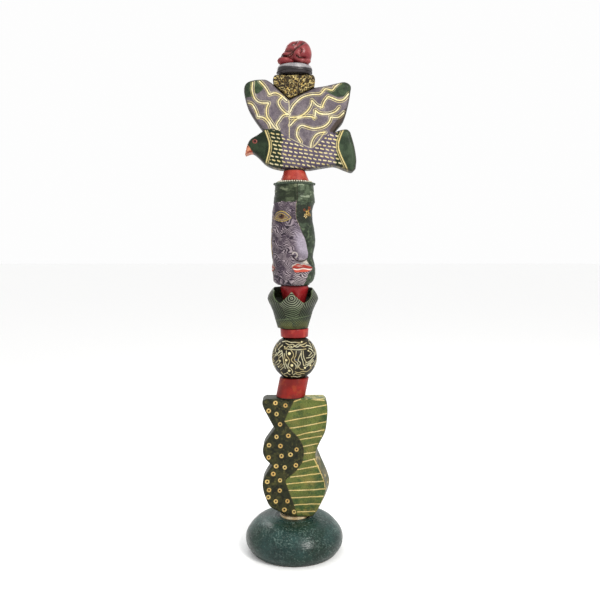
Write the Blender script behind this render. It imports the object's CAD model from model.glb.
"""Looks of the ceramic totem: carved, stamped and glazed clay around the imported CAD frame.

Metres, +Z up, front towards -Y. Every visible clay piece is a dense mesh made here by formula. Carving
is real relief, and the painted slips are colours worked out per point from the same strokes.
"""
import math

import bpy
import numpy as np
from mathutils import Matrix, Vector
from mathutils.geometry import delaunay_2d_cdt


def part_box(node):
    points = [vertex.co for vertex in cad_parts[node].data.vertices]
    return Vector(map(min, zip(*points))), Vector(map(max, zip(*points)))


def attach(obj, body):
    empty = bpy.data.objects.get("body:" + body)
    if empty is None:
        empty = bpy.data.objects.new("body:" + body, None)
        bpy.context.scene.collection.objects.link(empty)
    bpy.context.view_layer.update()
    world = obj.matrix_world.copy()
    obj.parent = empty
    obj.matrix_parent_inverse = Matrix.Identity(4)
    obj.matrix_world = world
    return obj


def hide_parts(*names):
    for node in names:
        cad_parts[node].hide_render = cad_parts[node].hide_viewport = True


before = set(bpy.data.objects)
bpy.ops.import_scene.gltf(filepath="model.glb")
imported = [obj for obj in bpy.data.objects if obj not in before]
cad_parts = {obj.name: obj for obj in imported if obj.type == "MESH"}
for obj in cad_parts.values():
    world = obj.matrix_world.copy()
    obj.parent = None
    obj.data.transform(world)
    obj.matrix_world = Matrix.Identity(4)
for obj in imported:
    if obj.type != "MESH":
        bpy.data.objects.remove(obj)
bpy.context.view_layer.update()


# ------------------------------------------------------------------ colours
def rgb(red, green, blue):
    """A 0..255 screen colour as linear light."""
    share = np.array([red, green, blue]) / 255
    return np.where(share <= 0.04045, share / 12.92, ((share + 0.055) / 1.055) ** 2.4)


CREAM = rgb(228, 208, 150)
CREAM_PALE = rgb(238, 226, 190)
SLIP_BROWN = rgb(58, 36, 22)


def mix(first, second, amount):
    """Blend colours (3,) or (n, 3) by a mask (n,) or a number."""
    amount = np.asarray(amount)
    if amount.ndim == 1:
        amount = amount[:, None]
    return first * (1 - amount) + second * amount


# ------------------------------------------------------------------ number helpers
def lattice(cell, seed):
    """A repeatable value in 0..1 for each whole-number cell."""
    mixed = (cell[:, 0] * 73856093) ^ (cell[:, 1] * 19349663) ^ (cell[:, 2] * 83492791) ^ (seed * 26544357)
    mixed = ((mixed ^ (mixed >> 13)) * 12741261) & 0x7FFFFFFF
    return ((mixed ^ (mixed >> 15)) & 0xFFFF) / 0xFFFF


def noise(points, size, seed=0):
    """Smooth noise in -1..1 whose lumps are about size across."""
    scaled = points / size + 100.0
    base = np.floor(scaled).astype(np.int64)
    part = scaled - base
    part = part * part * (3 - 2 * part)
    total = np.zeros(len(points))
    for corner in np.ndindex(2, 2, 2):
        weight = np.prod(np.where(np.array(corner) == 1, part, 1 - part), axis=1)
        total += weight * lattice(base + np.array(corner), seed)
    return 2 * total - 1


def cloud(points, size, seed=0, octaves=3):
    """Layered noise, each layer half the size and half the height of the last."""
    total, height = np.zeros(len(points)), 0.0
    for k in range(octaves):
        total += noise(points, size / 2 ** k, seed + 17 * k) / 2 ** k
        height += 1 / 2 ** k
    return total / height


def step(value, edge, feather):
    """0 below edge, 1 above it, with a soft change feather wide."""
    share = np.clip((value - edge) / feather + 0.5, 0, 1)
    return share * share * (3 - 2 * share)


def inside(distance, half, feather):
    """1 within half of a line, 0 outside, with a soft border."""
    return 1 - step(distance, half, feather)


def band(value, half, feather):
    """1 within half of zero on either side, with a soft border."""
    return inside(np.abs(value), half, feather)


def hump(value, centre, width):
    """A bell that is 1 at its centre."""
    return np.exp(-((value - centre) / width) ** 2)


def read(table, z):
    """A table of (height, value) read at any height."""
    heights, values = np.array(table).T
    return np.interp(z, heights, values)


def mottled(first, second, points, size, seed, edge, feather, octaves=3):
    """Two colours blended by layered noise."""
    return mix(first, second, step(cloud(points, size, seed, octaves), edge, feather))


def streaked(first, second, points, size, seed, feather=1):
    """Two colours blended by plain noise."""
    return mix(first, second, step(noise(points, size, seed), 0, feather))


def smooth(points, per=6):
    """A Catmull-Rom curve through hand-placed points."""
    p = np.array(points, float)
    if len(p) == 2:
        return p
    p = np.vstack([2 * p[0] - p[1], p, 2 * p[-1] - p[-2]])
    out = []
    for a, b, c, d in zip(p, p[1:], p[2:], p[3:]):
        for t in np.arange(per) / per:
            out.append(0.5 * (2 * b + (c - a) * t + (2 * a - 5 * b + 4 * c - d) * t * t
                              + (3 * b - a - 3 * c + d) * t ** 3))
    out.append(p[-2])
    return np.array(out)


def to_line(flat, line, reach=None):
    """Distance from each flat point to an open line, and which side of it the point is on.

    With a reach, points further from the line's box than that are only said to be far away.
    """
    if reach is not None:
        near = np.all((flat > line.min(0) - reach) & (flat < line.max(0) + reach), axis=1)
        best, side = np.full(len(flat), 1e9), np.zeros(len(flat))
        best[near], side[near] = to_line(flat[near], line)
        return best, side
    best = np.full(len(flat), 1e9)
    side = np.zeros(len(flat))
    for a, b in zip(line, line[1:]):
        along = b - a
        length = max(along @ along, 1e-12)
        share = np.clip(((flat - a) @ along) / length, 0, 1)
        off = flat - a - share[:, None] * along
        distance = np.hypot(off[:, 0], off[:, 1])
        near = distance < best
        best[near] = distance[near]
        side[near] = np.sign(along[0] * off[near, 1] - along[1] * off[near, 0])
    return best, side


def near_lines(flat, lines):
    """Distance to the nearest of several lines."""
    best = np.full(len(flat), 1e9)
    for line in lines:
        best = np.minimum(best, to_line(flat, line, 0.008)[0])
    return best


def within(flat, outline):
    """Which flat points lie inside a closed outline."""
    hit = np.zeros(len(flat), bool)
    for (ax, az), (bx, bz) in zip(outline, np.roll(outline, -1, axis=0)):
        crosses = (az > flat[:, 1]) != (bz > flat[:, 1])
        slope = (bx - ax) / (bz - az) if bz != az else 0.0
        hit ^= crosses & (flat[:, 0] < ax + (flat[:, 1] - az) * slope)
    return hit


# ------------------------------------------------------------------ materials
def ramp(tree, factor, stops):
    """A factor turned into greys, from (place, grey) stops."""
    node = tree.nodes.new("ShaderNodeValToRGB")
    tree.links.new(factor, node.inputs[0])
    while len(node.color_ramp.elements) < len(stops):
        node.color_ramp.elements.new(0.5)
    for element, (place, grey) in zip(node.color_ramp.elements, stops):
        element.position = place
        element.color = (grey, grey, grey, 1)
    return node.outputs["Color"]


def texture(tree, kind, scale, detail=3.0, stretch=(1, 1, 1)):
    """A noise or voronoi texture in the piece's own metres."""
    where = tree.nodes.new("ShaderNodeTexCoord")
    mapping = tree.nodes.new("ShaderNodeMapping")
    mapping.inputs["Scale"].default_value = stretch
    tree.links.new(where.outputs["Object"], mapping.inputs["Vector"])
    node = tree.nodes.new(kind)
    node.inputs["Scale"].default_value = scale
    if "Detail" in node.inputs:
        node.inputs["Detail"].default_value = detail
    tree.links.new(mapping.outputs["Vector"], node.inputs["Vector"])
    return node


def blend_node(tree, mode, factor, first, second):
    """Two colours, each a socket or a value, blended in a shader."""
    node = tree.nodes.new("ShaderNodeMix")
    node.data_type = "RGBA"
    node.blend_type = mode
    for socket, value in ((node.inputs[0], factor), (node.inputs[6], first), (node.inputs[7], second)):
        if hasattr(value, "is_output"):
            tree.links.new(value, socket)
        else:
            socket.default_value = value
    return node.outputs[2]


def attribute(tree, name):
    """A node that reads one of the mesh's own attributes."""
    node = tree.nodes.new("ShaderNodeAttribute")
    node.attribute_name = name
    return node


def glaze(name, rough=(0.28, 0.5), coat=0.25, mottle=0.25, grain=0.15, bump=0.35, streak=(1, 1, 1),
          scale=28.0, crackle=0.0):
    """Painted slip and glaze: mottled colour, worn grooves, uneven gloss and a fine brushed surface."""
    made = bpy.data.materials.new(name)
    made.use_nodes = True
    tree = made.node_tree
    shader = tree.nodes["Principled BSDF"]
    paint = attribute(tree, "paint").outputs["Color"]
    broad = texture(tree, "ShaderNodeTexNoise", scale, 5.0, streak).outputs["Fac"]
    fine = texture(tree, "ShaderNodeTexNoise", scale * 14, 4.0, streak).outputs["Fac"]
    broad_tone = ramp(tree, broad, [(0.30, 1 - mottle), (0.70, 1 + mottle)])
    colour = blend_node(tree, "MULTIPLY", 1.0, paint, broad_tone)
    fine_tone = ramp(tree, fine, [(0.35, 1 - grain), (0.65, 1 + grain)])
    colour = blend_node(tree, "MULTIPLY", 1.0, colour, fine_tone)
    groove = attribute(tree, "groove").outputs["Fac"]
    colour = blend_node(tree, "MIX", groove, colour, (*SLIP_BROWN * 0.6, 1))
    tree.links.new(colour, shader.inputs["Base Color"])
    gloss = tree.nodes.new("ShaderNodeMapRange")
    gloss.inputs["From Min"].default_value = 0.3
    gloss.inputs["From Max"].default_value = 0.7
    gloss.inputs["To Min"].default_value = rough[0]
    gloss.inputs["To Max"].default_value = rough[1]
    tree.links.new(broad, gloss.inputs["Value"])
    tree.links.new(gloss.outputs["Result"], shader.inputs["Roughness"])
    shader.inputs["Specular IOR Level"].default_value = 0.16
    shader.inputs["Coat Weight"].default_value = coat * 0.4
    shader.inputs["Coat Roughness"].default_value = 0.18
    height = fine
    if crackle:
        cells = texture(tree, "ShaderNodeTexVoronoi", crackle)
        cells.feature = "DISTANCE_TO_EDGE"
        edge = ramp(tree, cells.outputs["Distance"], [(0.0, 0.0), (0.06, 1.0)])
        height = blend_node(tree, "MULTIPLY", 0.5, fine, edge)
    relief = tree.nodes.new("ShaderNodeBump")
    relief.inputs["Strength"].default_value = bump
    relief.inputs["Distance"].default_value = 0.0006
    tree.links.new(height, relief.inputs["Height"])
    tree.links.new(relief.outputs["Normal"], shader.inputs["Normal"])
    return made


def plain(name, colour, rough, metallic=0.0, scale=90.0, streak=(1, 1, 1), bump=0.2, tones=(0.8, 1.1)):
    """Steel, rubber or floor: one colour with a fine grain in tone, gloss and height."""
    made = bpy.data.materials.new(name)
    made.use_nodes = True
    tree = made.node_tree
    shader = tree.nodes["Principled BSDF"]
    grain = texture(tree, "ShaderNodeTexNoise", scale, 6.0, streak).outputs["Fac"]
    tone = ramp(tree, grain, [(0.3, tones[0]), (0.7, tones[1])])
    tree.links.new(blend_node(tree, "MULTIPLY", 1.0, (*colour, 1), tone), shader.inputs["Base Color"])
    gloss = tree.nodes.new("ShaderNodeMapRange")
    gloss.inputs["To Min"].default_value = rough * 0.75
    gloss.inputs["To Max"].default_value = rough * 1.25
    tree.links.new(grain, gloss.inputs["Value"])
    tree.links.new(gloss.outputs["Result"], shader.inputs["Roughness"])
    shader.inputs["Metallic"].default_value = metallic
    relief = tree.nodes.new("ShaderNodeBump")
    relief.inputs["Strength"].default_value = bump
    relief.inputs["Distance"].default_value = 0.0004
    tree.links.new(grain, relief.inputs["Height"])
    tree.links.new(relief.outputs["Normal"], shader.inputs["Normal"])
    return made


# ------------------------------------------------------------------ pieces
# How much darker every slip and glaze is fired than it is painted.
GLAZE_DEPTH = 0.66
# Warmth of each piece's slips and glazes, over its painted colours.
GLAZE_TINT = {
    "dome_glazed": (1.12, 1.06, 0.98), "block_carved": (0.96, 0.87, 0.64),
    "leaning_collar_glazed": (0.94, 0.62, 0.34), "ball_carved": (0.96, 0.98, 0.88),
    "ring_collar_glazed": (0.84, 0.80, 0.64), "petal_cup_carved": (0.90, 0.88, 0.74),
    "cone_collar_glazed": (0.88, 0.90, 0.80), "bird_carved": (1.00, 1.00, 0.87),
    "wedge_carved": (1.14, 1.08, 1.02), "grey_ring_glazed": (0.76, 0.72, 0.70),
    "topknot_glazed": (0.74, 0.82, 0.78),
}


def fired(name, paint):
    """A piece's painted colours as the kiln leaves them, with full opacity."""
    colours = np.ones((len(paint), 4))
    colours[:, :3] = np.clip(paint * GLAZE_DEPTH * np.array(GLAZE_TINT.get(name, (1, 1, 1))), 0, 1)
    return colours


def piece(name, points, faces, paint, groove, material, body, slot, *nodes):
    """A mesh piece that rides on a body, stands for CAD nodes and takes its slot's finish."""
    mesh = bpy.data.meshes.new(name)
    mesh.from_pydata(points, [], faces)
    mesh.update()
    colours = mesh.attributes.new("paint", "FLOAT_COLOR", "POINT")
    colours.data.foreach_set("color", fired(name, paint).ravel())
    grooves = mesh.attributes.new("groove", "FLOAT", "POINT")
    grooves.data.foreach_set("value", np.clip(groove, 0, 1))
    mesh.shade_smooth()
    mesh.materials.append(material)
    made = bpy.data.objects.new(name, mesh)
    bpy.context.scene.collection.objects.link(made)
    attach(made, body)
    if nodes:
        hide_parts(*nodes)
    return made


def grid_faces(rows, columns, closed):
    """Quads of a grid that wraps round its columns, and round its rows when closed."""
    i = np.arange(rows if closed else rows - 1)[:, None]
    j = np.arange(columns)[None, :]
    k = (i + 1) % rows
    m = (j + 1) % columns
    quads = np.stack([i * columns + j, k * columns + j, k * columns + m, i * columns + m], -1)
    return quads.reshape(-1, 4).tolist()


def grid_normals(grid, closed):
    """Outward unit normals of a (rows, columns, 3) grid that runs down its outer side."""
    around = np.roll(grid, -1, 1) - np.roll(grid, 1, 1)
    down = np.roll(grid, -1, 0) - np.roll(grid, 1, 0)
    if not closed:
        down[0], down[-1] = grid[1] - grid[0], grid[-1] - grid[-2]
    normals = np.cross(down, around)
    return normals / np.maximum(np.linalg.norm(normals, axis=2, keepdims=True), 1e-12)


def resample(profile, spacing):
    """Even points along an (r, z) polyline."""
    profile = np.array(profile, float)
    gaps = np.hypot(*np.diff(profile, axis=0).T)
    along = np.concatenate([[0], np.cumsum(gaps)])
    count = max(2, int(along[-1] / spacing))
    where = np.linspace(0, along[-1], count)
    return np.stack([np.interp(where, along, profile[:, k]) for k in (0, 1)], 1)


def turns(columns):
    """Angles round the rod, from the front towards +X."""
    return np.arange(columns) * math.tau / columns


def revolve(profile, columns, centre=0.0):
    """A (rows, columns, 3) grid turned from an (r, z) profile; centre shifts each row along X."""
    angle = turns(columns)
    r, z = np.array(profile).T
    x = r[:, None] * np.sin(angle) + np.broadcast_to(centre, r.shape)[:, None]
    y = -r[:, None] * np.cos(angle)
    return np.stack([x, y, np.broadcast_to(z[:, None], x.shape)], -1)


def turned(rows, columns, centre=0.0):
    """Points and outward normals, both (n, 3), of a closed turned wall."""
    grid = revolve(rows, columns, centre)
    return grid.reshape(-1, 3), grid_normals(grid, True).reshape(-1, 3)


def from_rod(points):
    """Distance from the rod's axis."""
    return np.hypot(points[:, 0], points[:, 1])


def turn_of(points):
    """Angle round the rod, from the front towards +X."""
    return np.arctan2(points[:, 0], -points[:, 1])


def arc(corner, radius, start, end, count=5):
    """Points round a rounded edge; angles in degrees from +r towards +z."""
    angle = np.radians(np.linspace(start, end, count))
    return [(corner[0] + radius * math.cos(a), corner[1] + radius * math.sin(a)) for a in angle]


def column(name):
    """A node's lowest z, highest z and widest radius about the rod."""
    low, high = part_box(name)
    return low.z, high.z, max(high.x, -low.x, high.y, -low.y)


# ------------------------------------------------------------------ base
# Radius of the rod's hole through every piece.
BORE = 0.008


def brushed(points, seed, size=0.004):
    """Uneven brush and hand marks, in -1..1."""
    return 0.6 * cloud(points, size, seed) + 0.4 * cloud(points, size * 6, seed + 5)


DOME_COLUMNS = 420


def base_dome():
    """A wide hollow lens with throwing marks, dings and scratches in its glaze."""
    _, high, widest = column("base_dome")
    top = high - 0.0015
    outer = smooth([(0.030, top), (0.046, top), (0.051, top + 0.0012), (0.0555, top + 0.0015),
                    (0.060, top - 0.0001), (0.082, 0.0920), (0.098, 0.0870), (0.112, 0.0780),
                    (0.1260, 0.0625), (0.1345, 0.0488), (widest, 0.0365), (0.1350, 0.0225),
                    (0.1265, 0.0080), (0.1210, 0.0022), (0.1180, 0.0)])
    inner = [(0.1080, 0.0), (0.1150, 0.0090), (0.1240, 0.0240), (0.1265, 0.0370), (0.1160, 0.0565),
             (0.0940, 0.0760), (0.078, 0.0810), (BORE, top - 0.008), (BORE, top)]
    rows = np.vstack([resample(outer, 0.0013), inner])
    points, normal = turned(rows, DOME_COLUMNS)
    spun = np.stack([from_rod(points), turn_of(points) * 0.03, points[:, 2]], 1)
    shell = step(from_rod(points), 0.035, 0.01) * (points[:, 2] > 0.0005)
    throwing = noise(spun * np.array([1, 0.25, 1]), 0.0045, 3)
    marks = brushed(points, 11, 0.0035)
    dings = -step(cloud(points, 0.006, 23), 0.55, 0.15)
    lift = (0.00022 * throwing + 0.00025 * marks + 0.0007 * dings) * shell
    points = points + normal * lift[:, None]
    paint, scratch = dome_glaze(points)
    points = points - normal * (0.00035 * scratch * shell)[:, None]
    paint = dome_wear(paint, points, normal)
    groove = 0.35 * step(-dings, 0.5, 0.3)
    piece("dome_glazed", points, grid_faces(len(rows), DOME_COLUMNS, True), paint, groove,
          glaze("teal_brushed_glaze", rough=(0.22, 0.46), coat=0.35, mottle=0.30, grain=0.22, bump=0.5),
          "foot", "teal_glaze", "base_dome")


def dome_glaze(points):
    """Teal glaze crossed by pale combed scratches, and the scratches' mask."""
    deep = rgb(32, 60, 52)
    paint = mottled(rgb(38, 70, 68), deep, points, 0.060, 31, 0.10, 0.5)
    swirl = points + 0.010 * np.stack([cloud(points, 0.03, seed) for seed in (35, 37, 39)], 1)
    combed = np.abs(cloud(swirl * np.array([1.0, 1.0, 0.8]), 0.0055, 41, 2))
    scratch = inside(combed, 0.05, 0.08) * (0.35 + 0.65 * step(cloud(points, 0.035, 43), 0.0, 0.6))
    paint = mix(paint, rgb(128, 152, 148), 0.62 * scratch)
    return mix(paint, deep * 0.4, 0.55 * band(combed - 0.22, 0.06, 0.08)), scratch


def dome_wear(paint, points, normal):
    """Flecks, a darker rim and foot, and bare clay underneath."""
    away = from_rod(points)
    flecks = step(cloud(points, 0.0022, 47, 2), 0.62, 0.12) * step(noise(points, 0.03, 49), 0.0, 0.6)
    paint = mix(paint, rgb(150, 170, 160), 0.7 * flecks)
    paint = mix(paint, rgb(30, 46, 46), 0.6 * step(0.012 - points[:, 2], 0.0, 0.012))
    paint = paint * (1 - 0.30 * step(away, 0.126, 0.020))[:, None]
    under = (normal[:, 2] < -0.2) & (away < 0.118) | (points[:, 2] < 0.0004)
    return mix(paint, rgb(196, 160, 120), under.astype(float))


def seat_disc():
    """A bare clay disc between the dome and the block."""
    low, high, widest = column("seat_disc")
    columns, lip = 200, 0.0015
    profile = (arc((widest - lip, high - lip), lip, 90, 0) + arc((widest - lip, low + lip), lip, 0, -90))
    rows = np.vstack([[(BORE, high)], resample([(0.010, high)] + profile + [(0.010, low)], 0.0012),
                      [(BORE, low)]])
    points, normal = turned(rows, columns)
    away = from_rod(points) > 0.009
    points = points + normal * (0.00018 * cloud(points, 0.004, 5) * away)[:, None]
    paint = mottled(rgb(226, 208, 170), rgb(186, 160, 118), points, 0.012, 9, 0.0, 0.8)
    piece("seat_clay", points, grid_faces(len(rows), columns, True), paint, np.zeros(len(points)),
          glaze("bare_cream_clay", rough=(0.75, 0.95), coat=0.0, mottle=0.12, grain=0.18, bump=0.6),
          "foot", "cream_clay", "seat_disc")


# ------------------------------------------------------------------ flat slab pieces
def slab(outline, half_depth, roundness, spacing, flare=None, crown=0.0):
    """A closed slab with rounded edges between a front and a back face, triangulated finely.

    Returns the points, the faces, each point's distance from the edge and its side (-1 front, 1 back).
    """
    edge = resample(np.vstack([outline, outline[:1]]), spacing)[:-1]
    loop = np.vstack([edge, edge[:1]])
    flat, triangles = filled(edge, loop, spacing)
    deep = to_line(flat, loop)[0]
    deep[:len(edge)] = 0.0
    curve = np.clip(roundness - deep, 0, None)
    height = half_depth - roundness + np.sqrt(np.maximum(roundness ** 2 - curve ** 2, 0))
    height += crown * (1 - np.exp(-deep / 0.02))
    count = len(flat)
    front = np.stack([flat[:, 0], -height, flat[:, 1]], 1)
    back = np.stack([flat[:, 0], height, flat[:, 1]], 1)
    if flare is not None:
        back[:, 0] += flare(flat)
    lanes = max(2, int(2 * (half_depth - roundness) / (spacing * 1.6)))
    parts, sides, depths = [front, back], [-np.ones(count), np.ones(count)], [deep, deep]
    faces = [triangles[:, ::-1] if triangle_turn(flat, triangles) < 0 else triangles]
    faces.append(faces[0][:, ::-1] + count)
    rings = [np.arange(len(edge))]
    for lane in range(1, lanes):
        share = lane / lanes
        parts.append(front[:len(edge)] * (1 - share) + back[:len(edge)] * share)
        sides.append(np.full(len(edge), 2 * share - 1) * 0.5)
        depths.append(np.zeros(len(edge)))
        rings.append(2 * count + (lane - 1) * len(edge) + np.arange(len(edge)))
    rings.append(count + np.arange(len(edge)))
    for near, far in zip(rings, rings[1:]):
        a, b, c, d = near, np.roll(near, -1), np.roll(far, -1), far
        faces.append(np.stack([a, b, c], 1))
        faces.append(np.stack([a, c, d], 1))
    points = np.vstack(parts)
    all_faces = [f if k < 2 else orient(f, flat, len(edge)) for k, f in enumerate(faces)]
    return points, np.vstack(all_faces).tolist(), np.concatenate(depths), np.concatenate(sides)


def filled(edge, loop, spacing):
    """Points and triangles of a flat outline, its inside set out as an even triangular field."""
    low, high = edge.min(0), edge.max(0)
    xs = np.arange(low[0], high[0], spacing)
    zs = np.arange(low[1], high[1], spacing * math.sqrt(0.75))
    field_x, field_z = np.meshgrid(xs, zs)
    field_x = field_x + (np.arange(len(zs)) % 2)[:, None] * spacing / 2
    field = np.stack([field_x.ravel(), field_z.ravel()], 1)
    field = field[within(field, edge)]
    field = field[to_line(field, loop)[0] > spacing * 0.6]
    flat = np.vstack([edge, field])
    border = [(i, (i + 1) % len(edge)) for i in range(len(edge))]
    found = delaunay_2d_cdt([Vector(p) for p in flat], border, [], 1, 1e-9, False)
    flat = np.array([tuple(p) for p in found[0]])
    triangles = np.array(found[2])
    return flat, triangles[within(flat[triangles].mean(axis=1), edge)]


def triangle_turn(flat, triangles):
    """Sign of the first triangle's turn in the (x, z) plane, positive when it faces the front."""
    a, b, c = flat[triangles[0]]
    return (b[0] - a[0]) * (c[1] - a[1]) - (b[1] - a[1]) * (c[0] - a[0])


def orient(wall, flat, count):
    """Turn the wall's triangles outwards, from the way the outline runs."""
    ring = flat[:count]
    area = np.sum(ring[:, 0] * np.roll(ring[:, 1], -1) - np.roll(ring[:, 0], -1) * ring[:, 1])
    return wall[:, ::-1] if area > 0 else wall


def on_face(side):
    """Which points of a slab are on its front or back, and not on its wall."""
    return np.abs(side) > 0.9


def push(points, side, lift):
    """Raise the front and back faces of a slab by lift."""
    out = points.copy()
    out[:, 1] += np.where(on_face(side), np.sign(side) * lift, 0)
    return out


# ------------------------------------------------------------------ lower block
# Outlines are runs of (x, z) points; a corner stays sharp where one run ends and the next starts.
BLOCK_OUTLINE = [
    [(0.045, 0.0990), (0.054, 0.1040), (0.064, 0.116), (0.079, 0.145), (0.0885, 0.178),
     (0.0835, 0.205), (0.0720, 0.233), (0.0610, 0.259), (0.0610, 0.280), (0.0710, 0.306),
     (0.0860, 0.336), (0.0915, 0.370), (0.0930, 0.398), (0.0905, 0.420), (0.082, 0.4290)],
    [(0.082, 0.4290), (-0.080, 0.4290)],
    [(-0.080, 0.4290), (-0.0895, 0.422), (-0.0875, 0.405), (-0.0715, 0.374), (-0.0550, 0.3440)],
    [(-0.0550, 0.3440), (-0.0690, 0.325), (-0.0845, 0.302), (-0.0885, 0.280), (-0.0810, 0.260),
     (-0.0630, 0.2415)],
    [(-0.0630, 0.2415), (-0.0760, 0.223), (-0.0885, 0.197), (-0.0870, 0.171), (-0.0780, 0.145),
     (-0.0660, 0.1250), (-0.034, 0.1085), (-0.010, 0.0990)],
    [(-0.010, 0.0990), (0.045, 0.0990)],
]
# The seam between the stamped half and the striped half, which turns sharply where its two runs meet.
BLOCK_SEAM = [(0.005, 0.4330), (-0.0014, 0.4233), (-0.0100, 0.4066), (-0.0184, 0.3898), (-0.0285, 0.3670)]
BLOCK_SEAM_LOW = [
    (-0.0285, 0.3670), (-0.0075, 0.3395), (0.0070, 0.3256), (0.0170, 0.3116), (0.0245, 0.2948),
    (0.0260, 0.2790), (0.0240, 0.2641), (0.0205, 0.2500), (0.0110, 0.2365), (-0.0010, 0.2225),
    (-0.0150, 0.2120), (-0.0245, 0.2020), (-0.0225, 0.1900), (-0.0165, 0.1740), (-0.0100, 0.1552),
    (-0.0014, 0.1329), (0.0090, 0.0950),
]
BLOCK_RINGS = [
    (-0.053, 0.418), (-0.025, 0.411), (-0.072, 0.396), (-0.050, 0.387), (-0.040, 0.3585), (-0.017, 0.3265),
    (-0.050, 0.3235), (-0.071, 0.300), (-0.039, 0.298), (0.006, 0.288), (-0.011, 0.274), (-0.036, 0.270),
    (-0.072, 0.266), (-0.051, 0.2415), (-0.027, 0.238), (0.004, 0.244), (-0.059, 0.220), (-0.040, 0.202),
    (-0.076, 0.198), (-0.071, 0.175), (-0.041, 0.1735), (-0.073, 0.155), (-0.052, 0.1435), (-0.0195, 0.144),
    (-0.028, 0.120), (-0.001, 0.114),
]
BLOCK_STRIPES = [
    [(-0.002, 0.4215), (0.027, 0.4290), (0.090, 0.4240)],
    [(-0.0155, 0.3935), (0.030, 0.4015), (0.093, 0.4130)],
    [(-0.0285, 0.3660), (0.030, 0.3765), (0.093, 0.3890)],
    [(-0.0150, 0.3470), (0.035, 0.3545), (0.090, 0.3660)],
    [(0.005, 0.3265), (0.040, 0.3345), (0.083, 0.3425)],
    [(0.016, 0.3152), (0.045, 0.3205), (0.076, 0.3255)],
    [(0.024, 0.2960), (0.066, 0.3045)],
    [(0.027, 0.2760), (0.061, 0.2815)],
    [(0.023, 0.2530), (0.060, 0.2622)],
    [(0.008, 0.2317), (0.040, 0.2370), (0.068, 0.2425)],
    [(-0.010, 0.2110), (0.034, 0.2165), (0.078, 0.2220)],
    [(-0.0215, 0.1912), (0.030, 0.1965), (0.086, 0.2000)],
    [(-0.015, 0.1734), (0.034, 0.1745), (0.088, 0.1780)],
    [(-0.010, 0.1533), (0.034, 0.1548), (0.081, 0.1575)],
    [(0.000, 0.1334), (0.034, 0.1350), (0.072, 0.1360)],
    [(0.0085, 0.1136), (0.058, 0.1158)],
    [(0.0542, 0.2625), (0.0648, 0.2418), (0.0740, 0.2217), (0.0827, 0.2005), (0.0855, 0.1820)],
]
# Radii of one stamped ring.
RING_OUTER, RING_INNER = 0.0062, 0.0030
# How far the block's back leans out to the right of its front.
BLOCK_FLARE = 0.012


def runs_to_outline(runs, per=5):
    """One closed outline from smooth runs joined at sharp corners."""
    return np.vstack([smooth(run, per)[:-1] for run in runs])


def lower_block():
    """A wavy slab, one half dark and stamped with rings, the other green with incised stripes."""
    half_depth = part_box("lower_block")[1].y

    def flare(flat):
        return BLOCK_FLARE * step(flat[:, 0], 0.040, 0.02) * inside(np.abs(flat[:, 1] - 0.190), 0.085, 0.04)

    points, faces, deep, side = slab(runs_to_outline(BLOCK_OUTLINE), half_depth, 0.0055, 0.00145, flare)
    front = points.copy()
    front[:, 0] -= np.where(side > -0.9, flare(points[:, [0, 2]]) * (side + 1) / 2, 0)
    flat = front[:, [0, 2]]
    seam = np.vstack([smooth(BLOCK_SEAM), smooth(BLOCK_SEAM_LOW)[1:]])
    by_height = np.argsort(seam[:, 1])
    dark = step(np.interp(flat[:, 1], seam[by_height, 1], seam[by_height, 0]) - flat[:, 0], 0.0, 0.0016)
    seam_gap = to_line(flat, seam)[0]
    face = on_face(side)
    paint, groove, lift = striped_half(points, flat)
    dark_paint, dark_lift = stamped_half(points, flat)
    paint = mix(paint, dark_paint, dark)
    lift = np.where(dark > 0.5, dark_lift + 0.0009, lift)
    groove = groove * (1 - dark)
    groove = np.maximum(groove, 0.55 * inside(seam_gap, 0.0007, 0.0012))
    lift = lift - 0.0009 * inside(seam_gap, 0.0008, 0.0015)
    wall = step(roundness_left(deep), 0.5, 0.3)
    side_paint = block_side(points, flat)
    paint = mix(paint, side_paint, np.where(face, wall, 1.0))
    groove = np.where(face, groove * (1 - wall), 0)
    lift = lift * (1 - wall) + 0.0002 * brushed(points, 71)
    points = push(points, side, np.where(face, lift, 0))
    piece("block_carved", points, faces, paint, groove,
          glaze("block_slips", rough=(0.38, 0.62), coat=0.12, mottle=0.22, grain=0.25, bump=0.6),
          "lower_block", "green_glaze", "lower_block")


def roundness_left(deep):
    """1 at a slab's very edge, falling to 0 about 4 mm in."""
    return np.clip(1 - deep / 0.0040, 0, 1)


def stamped_half(points, flat):
    """Dark olive slip with cream rings stamped into it."""
    paint = mottled(rgb(40, 46, 28), rgb(58, 62, 36), points, 0.03, 51, 0.1, 0.6)
    paint = mix(paint, rgb(24, 28, 18), 0.8 * step(cloud(points, 0.006, 53, 2), 0.15, 0.2))
    paint = mix(paint, rgb(92, 92, 56), 0.5 * step(cloud(points, 0.006, 54, 2), 0.38, 0.12))
    lift = np.zeros(len(flat))
    for k, (x, z) in enumerate(BLOCK_RINGS):
        wobble = 1 + 0.08 * math.sin(2.3 * k)
        away = np.hypot((flat[:, 0] - x) * wobble, flat[:, 1] - z)
        ring = band(away - (RING_OUTER + RING_INNER) / 2 * 0.95, (RING_OUTER - RING_INNER) / 2, 0.0012)
        paint = mix(paint, mix(CREAM, rgb(205, 160, 90), 0.3 + 0.25 * math.sin(1.7 * k)), ring)
        heart = inside(away, RING_INNER * 0.75, 0.0012)
        paint = mix(paint, rgb(52, 24, 12), heart)
        lift = lift + 0.0004 * ring - 0.0011 * heart
    return paint, lift


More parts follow.
